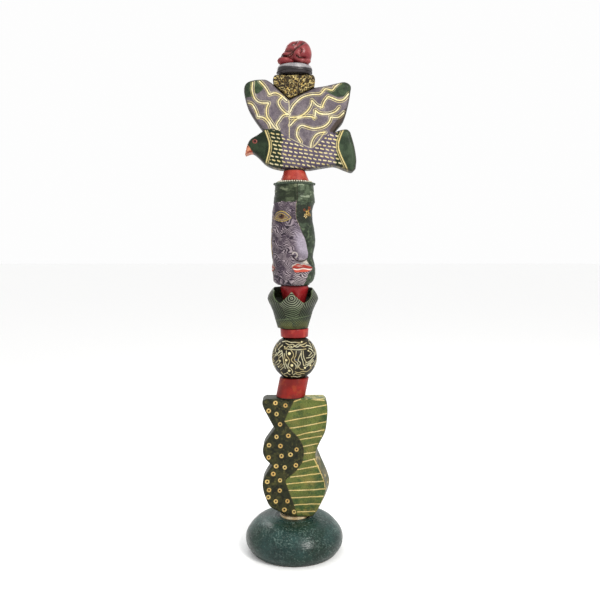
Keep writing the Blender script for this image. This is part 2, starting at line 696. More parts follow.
def striped_half(points, flat):
    """Green slips with sloping incised cream stripes."""
    green, deep, olive = rgb(100, 116, 62), rgb(34, 78, 50), rgb(122, 122, 72)
    tone = cloud(points * np.array([0.6, 1, 1]), 0.028, 61)
    paint = mix(green, olive, step(tone, 0.15, 0.5))
    ends = np.maximum(step(flat[:, 0], 0.056 + 0.02 * step(flat[:, 1], 0.3, 0.1), 0.02),
                      step(0.150 - flat[:, 1], 0.0, 0.05))
    paint = mix(paint, deep, 0.70 * ends * step(cloud(points, 0.010, 63), -0.10, 0.4))
    paint = mix(paint, deep, 0.5 * step(cloud(points * np.array([1, 1, 2.2]), 0.014, 65), 0.25, 0.25))
    wash = step(cloud(points * np.array([2.5, 1, 0.7]), 0.004, 67), 0.25, 0.4)
    paint = mix(paint, rgb(140, 150, 100), 0.25 * wash)
    wobble = flat + 0.0006 * np.stack([noise(points, 0.02, 68), noise(points, 0.015, 69)], 1)
    gap = near_lines(wobble, [smooth(stripe) for stripe in BLOCK_STRIPES])
    line = inside(gap, 0.00135, 0.0011)
    paint = mix(paint, streaked(CREAM, rgb(236, 220, 176), points, 0.01, 70), line)
    shade_line = band(gap - 0.0022, 0.0004, 0.0010)
    return paint, 0.22 * shade_line, -0.0007 * line


def block_side(points, flat):
    """Edges: dark on the left, mottled pale green on the top right, grey green with dabs on the right."""
    left = step(-flat[:, 0], 0.01, 0.02)
    right = mottled(rgb(74, 84, 62), rgb(112, 108, 84), points, 0.02, 73, 0.0, 0.6)
    dabs = step(cloud(points, 0.011, 75), 0.34, 0.12)
    right = mix(right, CREAM, 0.85 * dabs)
    pale = mottled(rgb(96, 128, 84), rgb(214, 212, 160), points, 0.008, 77, 0.08, 0.3)
    right = mix(right, pale, step(flat[:, 1], 0.424, 0.004))
    return mix(right, rgb(48, 54, 38), left)


# ------------------------------------------------------------------ turned pieces
def red_tube(node, rows, colours, seed, rough, columns=220, centre=0.0):
    """A red glazed collar from a closed (r, z) profile, with hand marks and glaze pooling at its foot."""
    points, normal = turned(rows, columns, centre)
    low, high, _ = column(node)
    share = (points[:, 2] - low) / (high - low)
    lift = 0.00022 * cloud(points, 0.012, seed) + 0.00010 * cloud(points, 0.003, seed + 3)
    points = points + normal * lift[:, None]
    deep, bright, spot = colours
    paint = mottled(deep, bright, points, 0.025, seed + 7, 0.0, 0.9)
    paint = mix(paint, spot, 0.55 * step(cloud(points, 0.014, seed + 9), 0.30, 0.3))
    rim = np.maximum(step(share, 0.97, 0.06), step(1 - share, 0.97, 0.06))
    paint = mix(paint, deep * 0.45, 0.6 * rim)
    name = node + "_glazed"
    made = piece(name, points, grid_faces(len(rows), columns, True), paint, np.zeros(len(points)),
                 glaze(name + "_glaze", rough=rough, coat=0.35, mottle=0.18, grain=0.12, bump=0.3),
                 node, "red_glaze", node)
    return made, points, paint, share


def collar_rows(low, high, r_low, r_high, bore_low, bore_high, lip=0.0022, spacing=0.0015):
    """A tube wall with rounded lips, outer side down, then the bore up."""
    outer = arc((r_high - lip, high - lip), lip, 90, 0) + arc((r_low - lip, low + lip), lip, 0, -90)
    bore = (arc((bore_low + lip, low + lip), lip, -90, -180)
            + arc((bore_high + lip, high - lip), lip, 180, 90))
    return np.vstack([resample(outer, spacing), resample(bore, 0.004)])


def leaning_collar():
    """A tube whose foot stands off to one side of its top."""
    low, high, _ = column("leaning_collar")
    rows = collar_rows(low, high, 0.0412, 0.0412, 0.0315, 0.0305)
    centre = -0.0110 * (high - rows[:, 1]) / (high - low)
    red_tube("leaning_collar", rows, (rgb(128, 28, 26), rgb(158, 38, 32), rgb(164, 78, 46)), 81,
             (0.4, 0.6), centre=centre)


def ring_collar():
    """A short tube under the cup."""
    low, high, _ = column("ring_collar")
    rows = collar_rows(low, high, 0.0388, 0.0402, 0.0282, 0.0282)
    red_tube("ring_collar", rows, (rgb(148, 30, 34), rgb(176, 44, 44), rgb(198, 80, 72)), 91,
             (0.24, 0.4))


def tapered_collar():
    """A collar that narrows down inside the cup."""
    low, high, _ = column("tapered_collar")
    outer = arc((0.0378, high - 0.0022), 0.0022, 90, 0) + smooth([
        (0.0396, 0.738), (0.0385, 0.730), (0.0322, 0.700), (0.0262, 0.660), (0.0245, low)]).tolist()
    bore = smooth([(0.0190, low), (0.0205, 0.660), (0.0262, 0.700), (0.0328, 0.733),
                   (0.0345, high)]).tolist()
    rows = np.vstack([resample(outer, 0.0016), resample(bore, 0.004)])
    red_tube("tapered_collar", rows, (rgb(128, 20, 26), rgb(160, 34, 38), rgb(180, 64, 62)), 101,
             (0.26, 0.44))


def cone_collar():
    """A cone-shaped collar with a dark scalloped foot."""
    low, high, _ = column("cone_collar")
    rows = collar_rows(low, high, 0.0425, 0.0308, 0.0345, 0.0225)
    colours = (rgb(174, 56, 50), rgb(198, 78, 66), rgb(220, 118, 100))
    made, points, paint, share = red_tube("cone_collar", rows, colours, 111, (0.28, 0.48), 240)
    scallop = 0.11 + 0.035 * np.abs(np.sin(turn_of(points) * 9))
    paint = mix(paint, rgb(70, 22, 24), 0.85 * inside(share, scallop, 0.05))
    made.data.attributes["paint"].data.foreach_set("color", fired(made.name, paint).ravel())


# ------------------------------------------------------------------ carved ball
def ball():
    """A hollow ball with raised maze lines and dots."""
    low, high, radius = column("ball")
    middle = (low + high) / 2
    columns, wall = 440, 0.008
    start = math.asin(BORE / radius)
    fall = np.linspace(start, math.pi - start, 205)
    outer = np.stack([radius * np.sin(fall), middle + radius * np.cos(fall)], 1)
    inner_r = radius - wall
    rise = np.linspace(math.pi - math.asin(BORE / inner_r), math.asin(BORE / inner_r), 12)
    inner = np.stack([inner_r * np.sin(rise), middle + inner_r * np.cos(rise)], 1)
    count = len(outer) + len(inner)
    points, normal = turned(np.vstack([outer, inner]), columns)
    turn = (np.tile(turns(columns), count) + math.pi) % math.tau - math.pi
    height = points[:, 2] - middle
    skin = np.repeat(np.arange(count) < len(outer), columns).astype(float)
    line, dot = labyrinth(turn, height, radius)
    line, dot = line * skin, dot * skin
    ground = mottled(rgb(26, 25, 18), rgb(52, 46, 32), points, 0.02, 121, 0.1, 0.7)
    paint = mix(ground, streaked(rgb(240, 232, 200), rgb(206, 186, 140), points, 0.012, 123), line)
    paint = mix(paint, rgb(250, 234, 186), dot)
    fleck = inside(np.hypot((turn - 0.06) * radius, height - 0.0015), 0.0016, 0.001) * skin
    paint = mix(paint, rgb(70, 90, 150), fleck)
    lift = 0.0005 * line + 0.0007 * dot + 0.0002 * cloud(points, 0.005, 125) * skin
    points = points + normal * lift[:, None]
    groove = 0.25 * np.clip(line * (1 - line) * 4, 0, 1)
    piece("ball_carved", points, grid_faces(count, columns, True), paint, groove,
          glaze("ball_slip", rough=(0.42, 0.65), coat=0.1, mottle=0.15, grain=0.25, bump=0.5),
          "ball", "carved_dark", "ball")


# Maze strokes and dots of one third of the ball, seen straight on, in millimetres from its centre.
MAZE = [
    [(-35, 25), (-32, 10), (-30, -3), (-27, -17), (-25, -24)],
    [(-28, 17), (-26, 3), (-24, -9), (-21, -17), (-17, -24)],
    [(-22, 25), (-22, 14), (-16, 5), (-13.5, -3), (-17, -12), (-17, -18), (-9, -24), (-5, -32), (-6, -38)],
    [(-9, 27), (-3, 18), (-3.5, 10), (-8, 3), (-7, -2), (2, -10), (5, -17), (3, -24)],
    [(5, 25), (3.5, 13), (0, 5), (2, -2), (8, -6), (9.5, -14), (8, -22)],
    [(18, 19), (10, 1), (16, -6), (15.5, -11), (11.5, -17), (15.5, -24), (25, -28)],
    [(19, 25), (19, 10), (23, -3), (25.5, -15.5)], [(24, 25), (25, 10), (29, -1), (33, -7)],
    [(25.5, -15.5), (38.5, -11.5), (52, -2)], [(30, -9), (42, -5), (53, 5)],
    [(33, 5), (44, 6), (52, 11)], [(40, 10), (48, 17)], [(32, -20), (42, -13), (54, -6)],
    [(-28, 30), (-9, 29), (13, 28), (32, 29)],
    [(-28, 35), (-22, 32), (-17, 36.5), (-9, 32.5), (-1, 37), (7, 35), (15.5, 38.5), (26, 35), (34, 37)],
    [(-24, 44), (-14, 40), (-6, 42), (3, 38.5), (11.5, 42.5), (22, 40.5), (33, 44)],
    [(-33, 46.5), (-22, 49), (-10, 46.5), (2, 47), (14, 46), (23.5, 48)], [(-45, 17), (-36, 23.5)],
    [(-45, 9), (-33, 19.5)], [(-44, 3), (-32.5, 14)], [(-49, 10), (-40, 25)],
    [(-52, -11.5), (-42.5, 0.5)], [(-49, -17), (-38.5, -6)], [(-45, -22), (-36, -11.5)],
    [(-38.5, -22), (-30, -11.5)], [(-55, 5), (-49, 17)], [(-38.5, -30), (-30, -20)],
    [(2, -33), (11.5, -36), (22, -32.5), (33, -34.5), (41, -30.5)],
    [(-3.5, -42.5), (3.5, -38.5), (11.5, -42.5), (21, -38.5), (27.5, -40.5)],
    [(-9, -49), (0, -48), (9, -50), (18, -47)], [(-28, -41), (-19.5, -38.5), (-11.5, -42.5)],
    [(-37, -36), (-30, -44), (-19.5, -49)], [(44, -25), (52, -17), (57, -6)],
    [(37, -33), (48, -26)], [(40, 30), (49, 24), (54.5, 14)], [(37, 24), (45, 19.5)],
    [(33, 38.5), (44, 34), (50.5, 27.5)], [(-40, 42.5), (-46.5, 34.5), (-52, 25)],
    [(-33, 38.5), (-40, 32), (-45, 25)],
]
MAZE_DOTS = [
    (-14, 18, 4.4), (-22.5, 0, 3.7), (-40, -3.5, 3.0), (-7, -14, 4.1), (-14.5, -30, 3.8),
    (29, -22, 3.4), (44, -17, 3.0), (20, 47, 2.4), (-9, 35.5, 2.2), (-27, 34.5, 2.0),
    (38.5, 24, 2.2), (56.5, 3.5, 2.4), (-44, -21, 2.4), (-19.5, -36.5, 2.0),
]


def labyrinth(turn, height, radius):
    """Cream maze lines and raised dots on the ball, as masks; sectors repeat every third of a turn."""
    third = math.tau / 3
    local = (turn + third / 2) % third - third / 2
    flat = np.stack([np.sqrt(np.maximum(radius ** 2 - height ** 2, 0)) * np.sin(local), height], 1)
    line = inside(near_lines(flat, [smooth(stroke) / 1000 for stroke in MAZE]), 0.00095, 0.0009)
    dot = np.zeros(len(turn))
    for x, z, size in MAZE_DOTS:
        away = np.hypot(flat[:, 0] - x / 1000, flat[:, 1] - z / 1000)
        dot = np.maximum(dot, inside(away, size / 1000 * 0.88, 0.0010))
        line = line * (1 - inside(away, size / 1000 + 0.0010, 0.0008))
    return line, dot


# ------------------------------------------------------------------ petal cup
CUP_SHIFT, CUP_WALL, CUP_FLOOR = -0.0045, 0.0055, 0.0075
# The wall's height and radius.
CUP_PROFILE = [
    (0.6258, 0.0430), (0.6280, 0.0440), (0.636, 0.0455), (0.655, 0.0515), (0.672, 0.0562),
    (0.688, 0.0630), (0.700, 0.0692), (0.7075, 0.0718), (0.716, 0.0697), (0.7240, 0.0656),
    (0.7320, 0.0600), (0.7395, 0.0537),
]
# The rim's tips and notches: turn in degrees, height.
CUP_RIM = [
    (-3, 0.7305), (27, 0.6985), (60, 0.7310), (98, 0.7380), (143, 0.7380), (180, 0.7015),
    (217, 0.7395), (264, 0.7395), (298, 0.7320), (329, 0.6985), (357, 0.7305),
]


def cup_rim(degrees):
    """Rim height at each turn: pointed tips and rounded notches."""
    place = (degrees + 3) % 360 - 3
    height = np.zeros(len(place))
    for (start, here), (end, there) in zip(CUP_RIM, CUP_RIM[1:]):
        share = np.clip((place - start) / (end - start), 0, 1)
        rise = share if here < there else 1 - share
        part = (place >= start) & (place <= end)
        height[part] = (min(here, there) + abs(there - here) * rise ** 1.3)[part]
    return height


def petal_cup():
    """An open cup whose wavy rim rises to petal tips."""
    low, _, _ = column("petal_cup")
    columns = 440
    angle = turns(columns)
    rim = cup_rim(np.degrees(angle))
    outer_share, inner_share = np.linspace(1, 0, 125), np.linspace(0, 1, 45)
    rows = [cup_row(low, rim, share, 0.0, angle) for share in outer_share]
    for z in (low, low + CUP_FLOOR):
        rows.append(np.stack([BORE * np.sin(angle), -BORE * np.cos(angle), np.full(columns, z)], 1))
    rows += [cup_row(low + CUP_FLOOR, rim, share, CUP_WALL, angle) for share in inner_share]
    grid = np.array(rows)
    normal = grid_normals(grid, True).reshape(-1, 3)
    points = grid.reshape(-1, 3)
    rim_gap = np.tile(rim, len(rows)) - points[:, 2]
    degrees = np.tile(np.degrees(angle), len(rows))
    outside = np.repeat(np.arange(len(rows)) < len(outer_share), columns).astype(float)
    ridge, notch_line = petal_carving(points, degrees)
    ridge, notch_line = ridge * outside, notch_line * outside
    lip = inside(rim_gap, 0.0020, 0.0016)
    paint = cup_paint(points, outside, ridge, lip, low)
    lift = 0.0006 * ridge - 0.0014 * notch_line + 0.0004 * cloud(points, 0.010, 135) * outside
    points = points + normal * lift[:, None]
    points[:, 2] = np.maximum(points[:, 2], low)
    piece("petal_cup_carved", points, grid_faces(len(rows), columns, True), paint, 0.7 * notch_line,
          glaze("petal_slip", rough=(0.34, 0.55), coat=0.2, mottle=0.2, grain=0.2, bump=0.45),
          "petal_cup", "cup_green", "petal_cup")


def cup_row(low, rim, share, thick, angle):
    """One ring of the cup's wall, a share of the way from low to the rim."""
    z = low + (rim - low) * share
    radius = read(CUP_PROFILE, z) - thick * (1 - 0.4 * share)
    return np.stack([CUP_SHIFT + radius * np.sin(angle), -radius * np.cos(angle), z], 1)


def comb(distance, pitch, half):
    """Evenly spaced lines across a distance field, 1 on a line."""
    return inside(np.abs((distance / pitch) % 1 - 0.5) * pitch, half, 0.0009)


def petal_carving(points, degrees):
    """Masks of fine combed lines, arcs on the front and back and slanting fans on the sides, and of
    the notches between the petals.
    """
    z = points[:, 2]
    across = ((degrees + 3 + 90) % 180 - 90) * 0.00108
    bent = 0.0022 * noise(points, 0.016, 137)
    arcs = comb(np.hypot(across, z - 0.7130) + bent, 0.0056, 0.0008)
    lean = np.where((degrees + 3) % 360 < 180, 1.0, -1.0)
    side = across - np.sign(across) * 0.062
    fans = 0.55 * comb(np.hypot(side * 1.1 - lean * 0.050, z - 0.760) + bent, 0.0060, 0.0006)
    front = inside(np.abs(across), 0.0345 - 0.35 * (0.70 - z), 0.002)
    low_zone = inside(z, 0.655, 0.003)
    cross = np.maximum(comb(z * 0.8 + across * 0.6, 0.0055, 0.0006),
                       comb(z * 0.8 - across * 0.6, 0.0062, 0.0005))
    ridge = (arcs * front + fans * (1 - front)) * (1 - low_zone) + 0.6 * cross * low_zone
    border = band(z - 0.6550 - 0.10 * across, 0.0008, 0.0010)
    notch = band(np.abs(across) - 0.0345 + 0.35 * (0.70 - z), 0.0006, 0.0012) * step(z, 0.662, 0.01)
    return np.maximum(ridge, 0.8 * border) * step(z, 0.6335, 0.003), notch


def cup_paint(points, outside, ridge, lip, low):
    """Dark green slip, paler ridges and lips, olive near the foot and dark inside."""
    paint = mottled(rgb(18, 26, 16), rgb(34, 44, 28), points, 0.02, 131, 0.1, 0.6)
    foot = inside(points[:, 2], low + 0.020, 0.016) * step(cloud(points, 0.016, 133), -0.1, 0.4)
    paint = mix(paint, rgb(92, 92, 44), 0.65 * foot * outside)
    strength = 0.55 + 0.45 * step(noise(points, 0.025, 139), 0.0, 1.0)
    bright = step(points[:, 2], 0.6880, 0.030)[:, None]
    ridge_slip = rgb(128, 146, 114) * (1 - bright) + rgb(232, 240, 220) * bright
    paint = mix(paint, ridge_slip, 0.85 * ridge * strength)
    paint = mix(paint, rgb(118, 140, 108), 0.6 * lip * outside)
    return mix(paint, rgb(74, 92, 70), (1 - outside) * 0.85)


# ------------------------------------------------------------------ head
HEAD_R = 0.0545
SECTOR = math.radians(120)
# Where each profile's edge runs: height, turn in degrees.
PROFILE_LINE = [
    (0.740, 30), (0.757, 33), (0.768, 40), (0.780, 43), (0.789, 53), (0.797, 54), (0.806, 44),
    (0.815, 38), (0.835, 37), (0.860, 33), (0.885, 25), (0.910, 15), (0.930, 7), (0.945, 4),
    (0.965, 5), (0.985, 8), (1.040, 9),
]
# How far the profile stands out at its edge: height, millimetres.
NOSE_LIFT = [
    (0.740, 1.0), (0.757, 2.5), (0.772, 2.0), (0.783, 4.5), (0.794, 6.0), (0.803, 4.5),
    (0.811, 4.0), (0.818, 8.5), (0.830, 9.5), (0.850, 8.5), (0.880, 6.5), (0.910, 4.0),
    (0.932, 1.8), (0.950, 1.6), (0.975, 2.6), (1.000, 1.6), (1.040, 1.0),
]
# The wall on the left and on the right of the vessel: height, radius in millimetres.
LEFT_RADIUS = [
    (0.747, 53), (0.756, 59), (0.775, 60.5), (0.791, 62), (0.812, 60.5), (0.833, 62), (0.850, 63.5),
    (0.874, 64.4), (0.904, 64.4), (0.930, 63), (0.954, 62), (0.969, 59), (0.984, 58.5), (1.000, 56),
    (1.030, 55),
]
RIGHT_RADIUS = [
    (0.747, 44), (0.753, 50), (0.762, 55), (0.777, 58.8), (0.791, 58.8), (0.806, 56.4),
    (0.824, 51.3), (0.839, 53), (0.857, 57), (0.874, 58), (0.892, 56.4), (0.910, 54), (0.925, 50.5),
    (0.940, 49.8), (0.955, 49.3), (0.967, 52), (0.980, 57.2), (0.990, 57), (1.005, 55), (1.030, 54),
]


def head():
    """A tall vessel whose wall carries three overlapping stylised profiles, one to each third."""
    low, high, _ = column("head")
    columns, levels = 330, 262
    turn, height = np.meshgrid(turns(columns), np.linspace(high - 0.0066, low, levels))
    turn, height = turn.ravel(), height.ravel()
    edge = np.radians(read(PROFILE_LINE, height) + 0.6 * np.sin(height * 160))
    signed = (turn + math.pi) % math.tau - math.pi
    behind = (edge - turn) % SECTOR
    sector = np.round((turn + behind - edge) / SECTOR).astype(int) % 3
    u = -behind * HEAD_R
    share = (height - low) / (high - low)
    wall = (HEAD_R + 0.0012 * np.sin(math.pi * share)
            - 0.0058 * np.clip(1 - (height - low) / 0.012, 0, 1) ** 2)
    colours, detail, groove = face_paint(sector, u, height, turn)
    ochre = band(signed + math.radians(85) + 0.05 * np.sin(height * 40), 0.016, 0.02)
    ochre *= box_mask(height, height, (0.842, 0.934), (0.842, 0.934))
    colours = mix(colours, rgb(190, 158, 70), 0.85 * ochre)
    colours, detail, groove = head_cap(colours, detail, groove, sector, u, height, turn)
    radius = wall + profile_lift(u, height, signed) + detail
    body = np.stack([radius * np.sin(turn), -radius * np.cos(turn), height], 1)
    before, after = head_ends(low, high, columns)
    grid = np.vstack([before, body.reshape(levels, columns, 3), after])
    count = [len(before) * columns, len(after) * columns]
    rim_paint = mix(rgb(74, 88, 72), rgb(50, 58, 44), 0.3)
    paint = np.vstack([np.tile(rim_paint, (count[0], 1)), colours,
                       np.tile(rgb(150, 118, 88), (count[1], 1))])
    groove = np.concatenate([np.zeros(count[0]), groove, np.zeros(count[1])])
    points = grid.reshape(-1, 3)
    fine = np.where(from_rod(points) < 0.046, 0, 0.00025 * cloud(points, 0.006, 153))
    points = points + grid_normals(grid, True).reshape(-1, 3) * fine[:, None]
    points[:, 2] = np.clip(points[:, 2], low, None)
    piece("head_carved", points, grid_faces(len(grid), columns, True), paint, groove,
          glaze("head_slips", rough=(0.34, 0.58), coat=0.18, mottle=0.2, grain=0.22, bump=0.5),
          "head", "head_glaze", "head")
    rim_beads(high)


def profile_lift(u, height, signed):
    """How far the noses and the vessel's lopsided sides stand out from a plain tube."""
    left = hump(signed, math.radians(-92), math.radians(40))
    right = hump(signed, math.radians(88), math.radians(42))
    bulb = 0.0100 * np.clip(((u + 0.019) / 0.019) ** 2, 0, 1.4) - 0.002
    nose = read(NOSE_LIFT, height - bulb * hump(height, 0.822, 0.018)) * 0.001
    breadth = 0.0105 + 0.011 * hump(height, 0.835, 0.055)
    lift = nose * (0.35 * np.exp(u / 0.022) + 0.65 * np.exp(-(u / breadth) ** 2))
    lift *= step(-u, 0.0003, 0.0016) * (1 - 0.85 * left)
    left_out = read(LEFT_RADIUS, height) / 1000 - HEAD_R
    right_out = read(RIGHT_RADIUS, height) / 1000 - HEAD_R
    return lift + (left * left_out + right * right_out)


def unrolled(turn, height):
    """The head's wall laid flat, as points for the noise."""
    return np.stack([turn * HEAD_R, np.zeros(len(turn)), height], 1)


def head_cap(colours, detail, groove, sector, u, height, turn):
    """The wrinkled glaze over the top of the wall, seamed where the thirds meet."""
    cap = (height > 0.979 + 0.0012 * np.sin(turn * 7) + 0.0008 * np.sin(turn * 17)).astype(float)
    flat = unrolled(turn, height)
    wrinkle = cloud(flat * np.array([0.5, 1, 1.5]), 0.010, 151)
    paint = mottled(rgb(50, 62, 46), rgb(84, 96, 80), flat * np.array([1.6, 1, 0.6]), 0.02, 155, 0.1, 0.5)
    paint = mix(paint, rgb(30, 40, 26), 0.75 * step(-wrinkle, 0.20, 0.2))
    paint = mix(paint, rgb(168, 178, 160), 0.5 * step(wrinkle, 0.38, 0.15))
    paint = paint * np.where((sector == 0)[:, None], (0.80, 0.78, 0.60), (1.25, 1.25, 1.10))
    seam = np.clip(band(u, 0.0008, 0.0014) + band(-u - SECTOR * HEAD_R, 0.0008, 0.0014), 0, 1)
    colours = mix(colours, mix(paint, rgb(44, 48, 30), seam), cap)
    detail = np.where(cap > 0.5, 0.0009 * wrinkle - 0.0012 * seam, detail)
    return colours, detail, np.where(cap > 0.5, 0.3 * seam, groove)


def head_ends(low, high, columns):
    """Rows of the coil rim and top before the wall, and of the underside and hollow after it."""
    top = [(BORE, high), (0.0400, high), (0.0500, high)]
    rim = arc((0.0560, high - 0.0030), 0.0030, 90, -90, 11)
    before = revolve(np.array(top + rim + [(0.0550, high - 0.0062)]), columns)
    angle = turns(columns)
    bumps = 1 + 0.012 * np.sin(angle * 23 + np.sin(angle * 5)) + 0.010 * np.sin(angle * 41)
    before[3:, :, :2] *= bumps[None, :, None]
    under = [(0.0440, low), (BORE, low), (BORE, low + 0.008), (0.0400, low + 0.008),
             (0.0440, low + 0.020), (0.0440, high - 0.015), (0.0420, high - 0.008), (BORE, high - 0.008)]
    return before, revolve(np.array(under), columns)


def by_third(sector, first, second, third):
    """The colours of the purple, the green and the far third."""
    rest = np.where((sector == 1)[:, None], second, third)
    return np.where((sector == 0)[:, None], first, rest)


def head_slips(flat, sector, u, z, curls):
    """Mottled purple, green and olive slips."""
    purple = mottled(rgb(86, 71, 86), rgb(112, 96, 108), flat, 0.018, 161, 0.0, 0.8)
    purple = mix(purple, rgb(206, 190, 194), 0.50 * (1 - curls) * step(cloud(flat, 0.012, 163), -0.1, 0.7))
    green = mottled(rgb(48, 62, 44), rgb(66, 80, 60), flat, 0.022, 165, 0.0, 0.7)
    green = mix(green, rgb(28, 38, 24), 0.7 * step(cloud(flat, 0.008, 169), 0.05, 0.25))
    green = mix(green, rgb(112, 128, 96), 0.5 * step(cloud(flat, 0.007, 170), 0.35, 0.15))
    socket = box_mask(u, z, (-0.1125, -0.040), (0.920, 0.971))
    green = mix(green, rgb(30, 38, 24), 0.9 * socket)
    olive = mottled(rgb(104, 88, 58), rgb(74, 74, 50), flat, 0.02, 167, 0.0, 0.7)
    return by_third(sector, purple, green, olive)


def face_paint(sector, u, z, turn):
    """Colours, carved depth and dark grooves of the three thirds.

    u runs from 0 at a profile's edge back to -0.114 behind it.
    """
    flat = unrolled(turn, z)
    curls = curly(flat)
    paint = head_slips(flat, sector, u, z, curls)
    nose_zone = hump(z, 0.857, 0.042) * np.exp(-(u / 0.027) ** 4)
    smooth_zone = np.clip(1.3 * nose_zone, 0, 1)
    nose_paint = by_third(sector, rgb(166, 156, 170), rgb(90, 108, 84), rgb(108, 96, 70))
    paint = mix(paint, nose_paint, smooth_zone)
    chin_zone = inside(z, 0.782, 0.012) * inside(-u, 0.038, 0.02)
    paint = mix(paint, rgb(196, 182, 182), 0.6 * chin_zone * (1 - 0.6 * curls))
    texture_on = (1 - smooth_zone) * np.where(sector == 1, 0.22, 1.0)
    depth = -0.0014 * curls * texture_on
    paint = mix(paint, rgb(36, 28, 40), 0.92 * curls * texture_on)
    philtrum = hump(z, 0.8110, 0.006) * hump(u, -0.006, 0.012)
    paint = mix(paint, rgb(232, 222, 204), 0.85 * philtrum)
    groove = np.zeros(len(u))
    paint, depth, groove = add_eye(paint, depth, groove, sector, u, z)
    paint, depth, groove = add_nostril(paint, depth, groove, u, z)
    paint, depth, groove = add_lips(paint, depth, groove, u, z)
    edge = band(u, 0.0010, 0.0010) * step(z, 0.83, 0.01)
    paint = mix(paint, rgb(176, 150, 70), 0.7 * edge * (sector != 0) + 0.35 * edge)
    return paint, depth, groove


def box_mask(u, z, across, up):
    """A soft-edged patch in the unrolled wall."""
    return (step(u, across[0], 0.006) * (1 - step(u, across[1], 0.006)) * step(z, up[0], 0.006)
            * (1 - step(z, up[1], 0.006)))


def curly(flat):
    """Fingerprint-like incised curls: 1 in the groove."""
    bend = 0.0170 * cloud(flat, 0.019, 171, 2)
    drift = 0.5 * flat[:, 0] + 0.010 * noise(flat, 0.034, 173)
    return inside(np.abs(((flat[:, 2] + bend + drift) / 0.0062) % 1 - 0.5), 0.23, 0.18)


def add_eye(paint, depth, groove, sector, u, z):
    """A long eye in a double ochre outline on two thirds, and stamped flowers on the green one."""
    x, h = u + 0.0430, z - 0.9345
    half, inner_half = 0.0290, 0.0205
    wide = np.maximum(1 - (x / half) ** 2, 0)
    tight = np.maximum(1 - (x / inner_half) ** 2, 0)
    reach, inner = band(x, half, 0.0015), band(x, inner_half, 0.0015)
    lids = reach * np.maximum(band(h - 0.0180 * wide, 0.0013, 0.001),
                              band(h + 0.0095 * wide, 0.0010, 0.001))
    inner_lids = inner * np.maximum(band(h - 0.0120 * tight, 0.0008, 0.001),
                                    band(h + 0.0048 * tight, 0.0007, 0.001))
    lids = np.maximum(lids, inner_lids)
    almond = inner * step(0.0120 * tight - h, 0.0, 0.001) * step(h + 0.0048 * tight, 0.0, 0.001)
    field = reach * step(0.0180 * wide - h, 0.0, 0.001) * step(h + 0.0095 * wide, 0.0, 0.001)
    iris = np.hypot(x - 0.0010, h - 0.0052)
    on = (sector != 1).astype(float)
    paint = mix(paint, rgb(112, 98, 112), 0.7 * on * field)
    paint = mix(paint, rgb(140, 118, 84), on * almond * 0.9)
    paint = mix(paint, rgb(84, 50, 36), on * almond * inside(iris, 0.0084, 0.001))
    paint = mix(paint, rgb(38, 24, 20), on * inside(iris, 0.0044, 0.001))
    paint = mix(paint, rgb(204, 176, 84), on * lids)
    paint = mix(paint, CREAM_PALE, on * inside(np.hypot(x + 0.0020, h - 0.0075), 0.0010, 0.0008))
    depth = depth * (1 - on * field) + on * (0.0013 * lids + 0.0014 * almond * inside(iris, 0.007, 0.005))
    return add_flower(paint, depth, groove, sector, u, z)


def add_flower(paint, depth, groove, sector, u, z):
    """Stamped petals and dots in the green third's dark socket."""
    on = (sector == 1).astype(float)
    blooms = ((-0.0780, 0.9480, 0.0092), (-0.0700, 0.9600, 0.0080), (-0.0860, 0.9390, 0.0066),
              (-0.0660, 0.9430, 0.0050), (-0.0900, 0.9560, 0.0046))
    for k, (cx, cz, size) in enumerate(blooms):
        x, h = u - cx, z - cz
        away = np.hypot(x, h)
        petals = inside(away, size * (0.72 + 0.28 * np.cos(np.arctan2(h, x) * 5 + k)), 0.0010)
        heart = inside(away, size * 0.30, 0.0008)
        tone = (rgb(196, 158, 78), rgb(132, 66, 30), rgb(214, 190, 130))[k % 3]
        paint = mix(paint, tone, on * petals)
        paint = mix(paint, rgb(70, 32, 20), on * heart)
        depth = depth + on * (0.0006 * petals - 0.0012 * heart)
        groove = groove * (1 - on * petals)
    return paint, depth, groove


def add_nostril(paint, depth, groove, u, z):
    """The curled wing and the dark shadow line under each nose."""
    x, h = u + 0.0355, z - 0.8310
    curl = np.hypot(x, h * 0.9)
    wing = inside(np.abs(curl - 0.0070), 0.0015, 0.001) * step(x + h * 0.8, -0.003, 0.003)
    paint = mix(paint, rgb(214, 202, 194), 0.85 * wing)
    hollow = inside(np.abs(curl - 0.0088), 0.0006, 0.0014) * step(-x, 0.0, 0.004)
    base = 0.8135 + 0.0100 * ((u + 0.019) / 0.019) ** 2
    under = inside(np.abs(z - base), 0.0017, 0.0016) * inside(np.abs(u + 0.019), 0.019, 0.003)
    paint = mix(paint, rgb(48, 36, 42), np.maximum(0.6 * hollow, 0.8 * under))
    return paint, depth + 0.0012 * wing - 0.0022 * under, np.maximum(groove * (1 - wing), 0.85 * under)


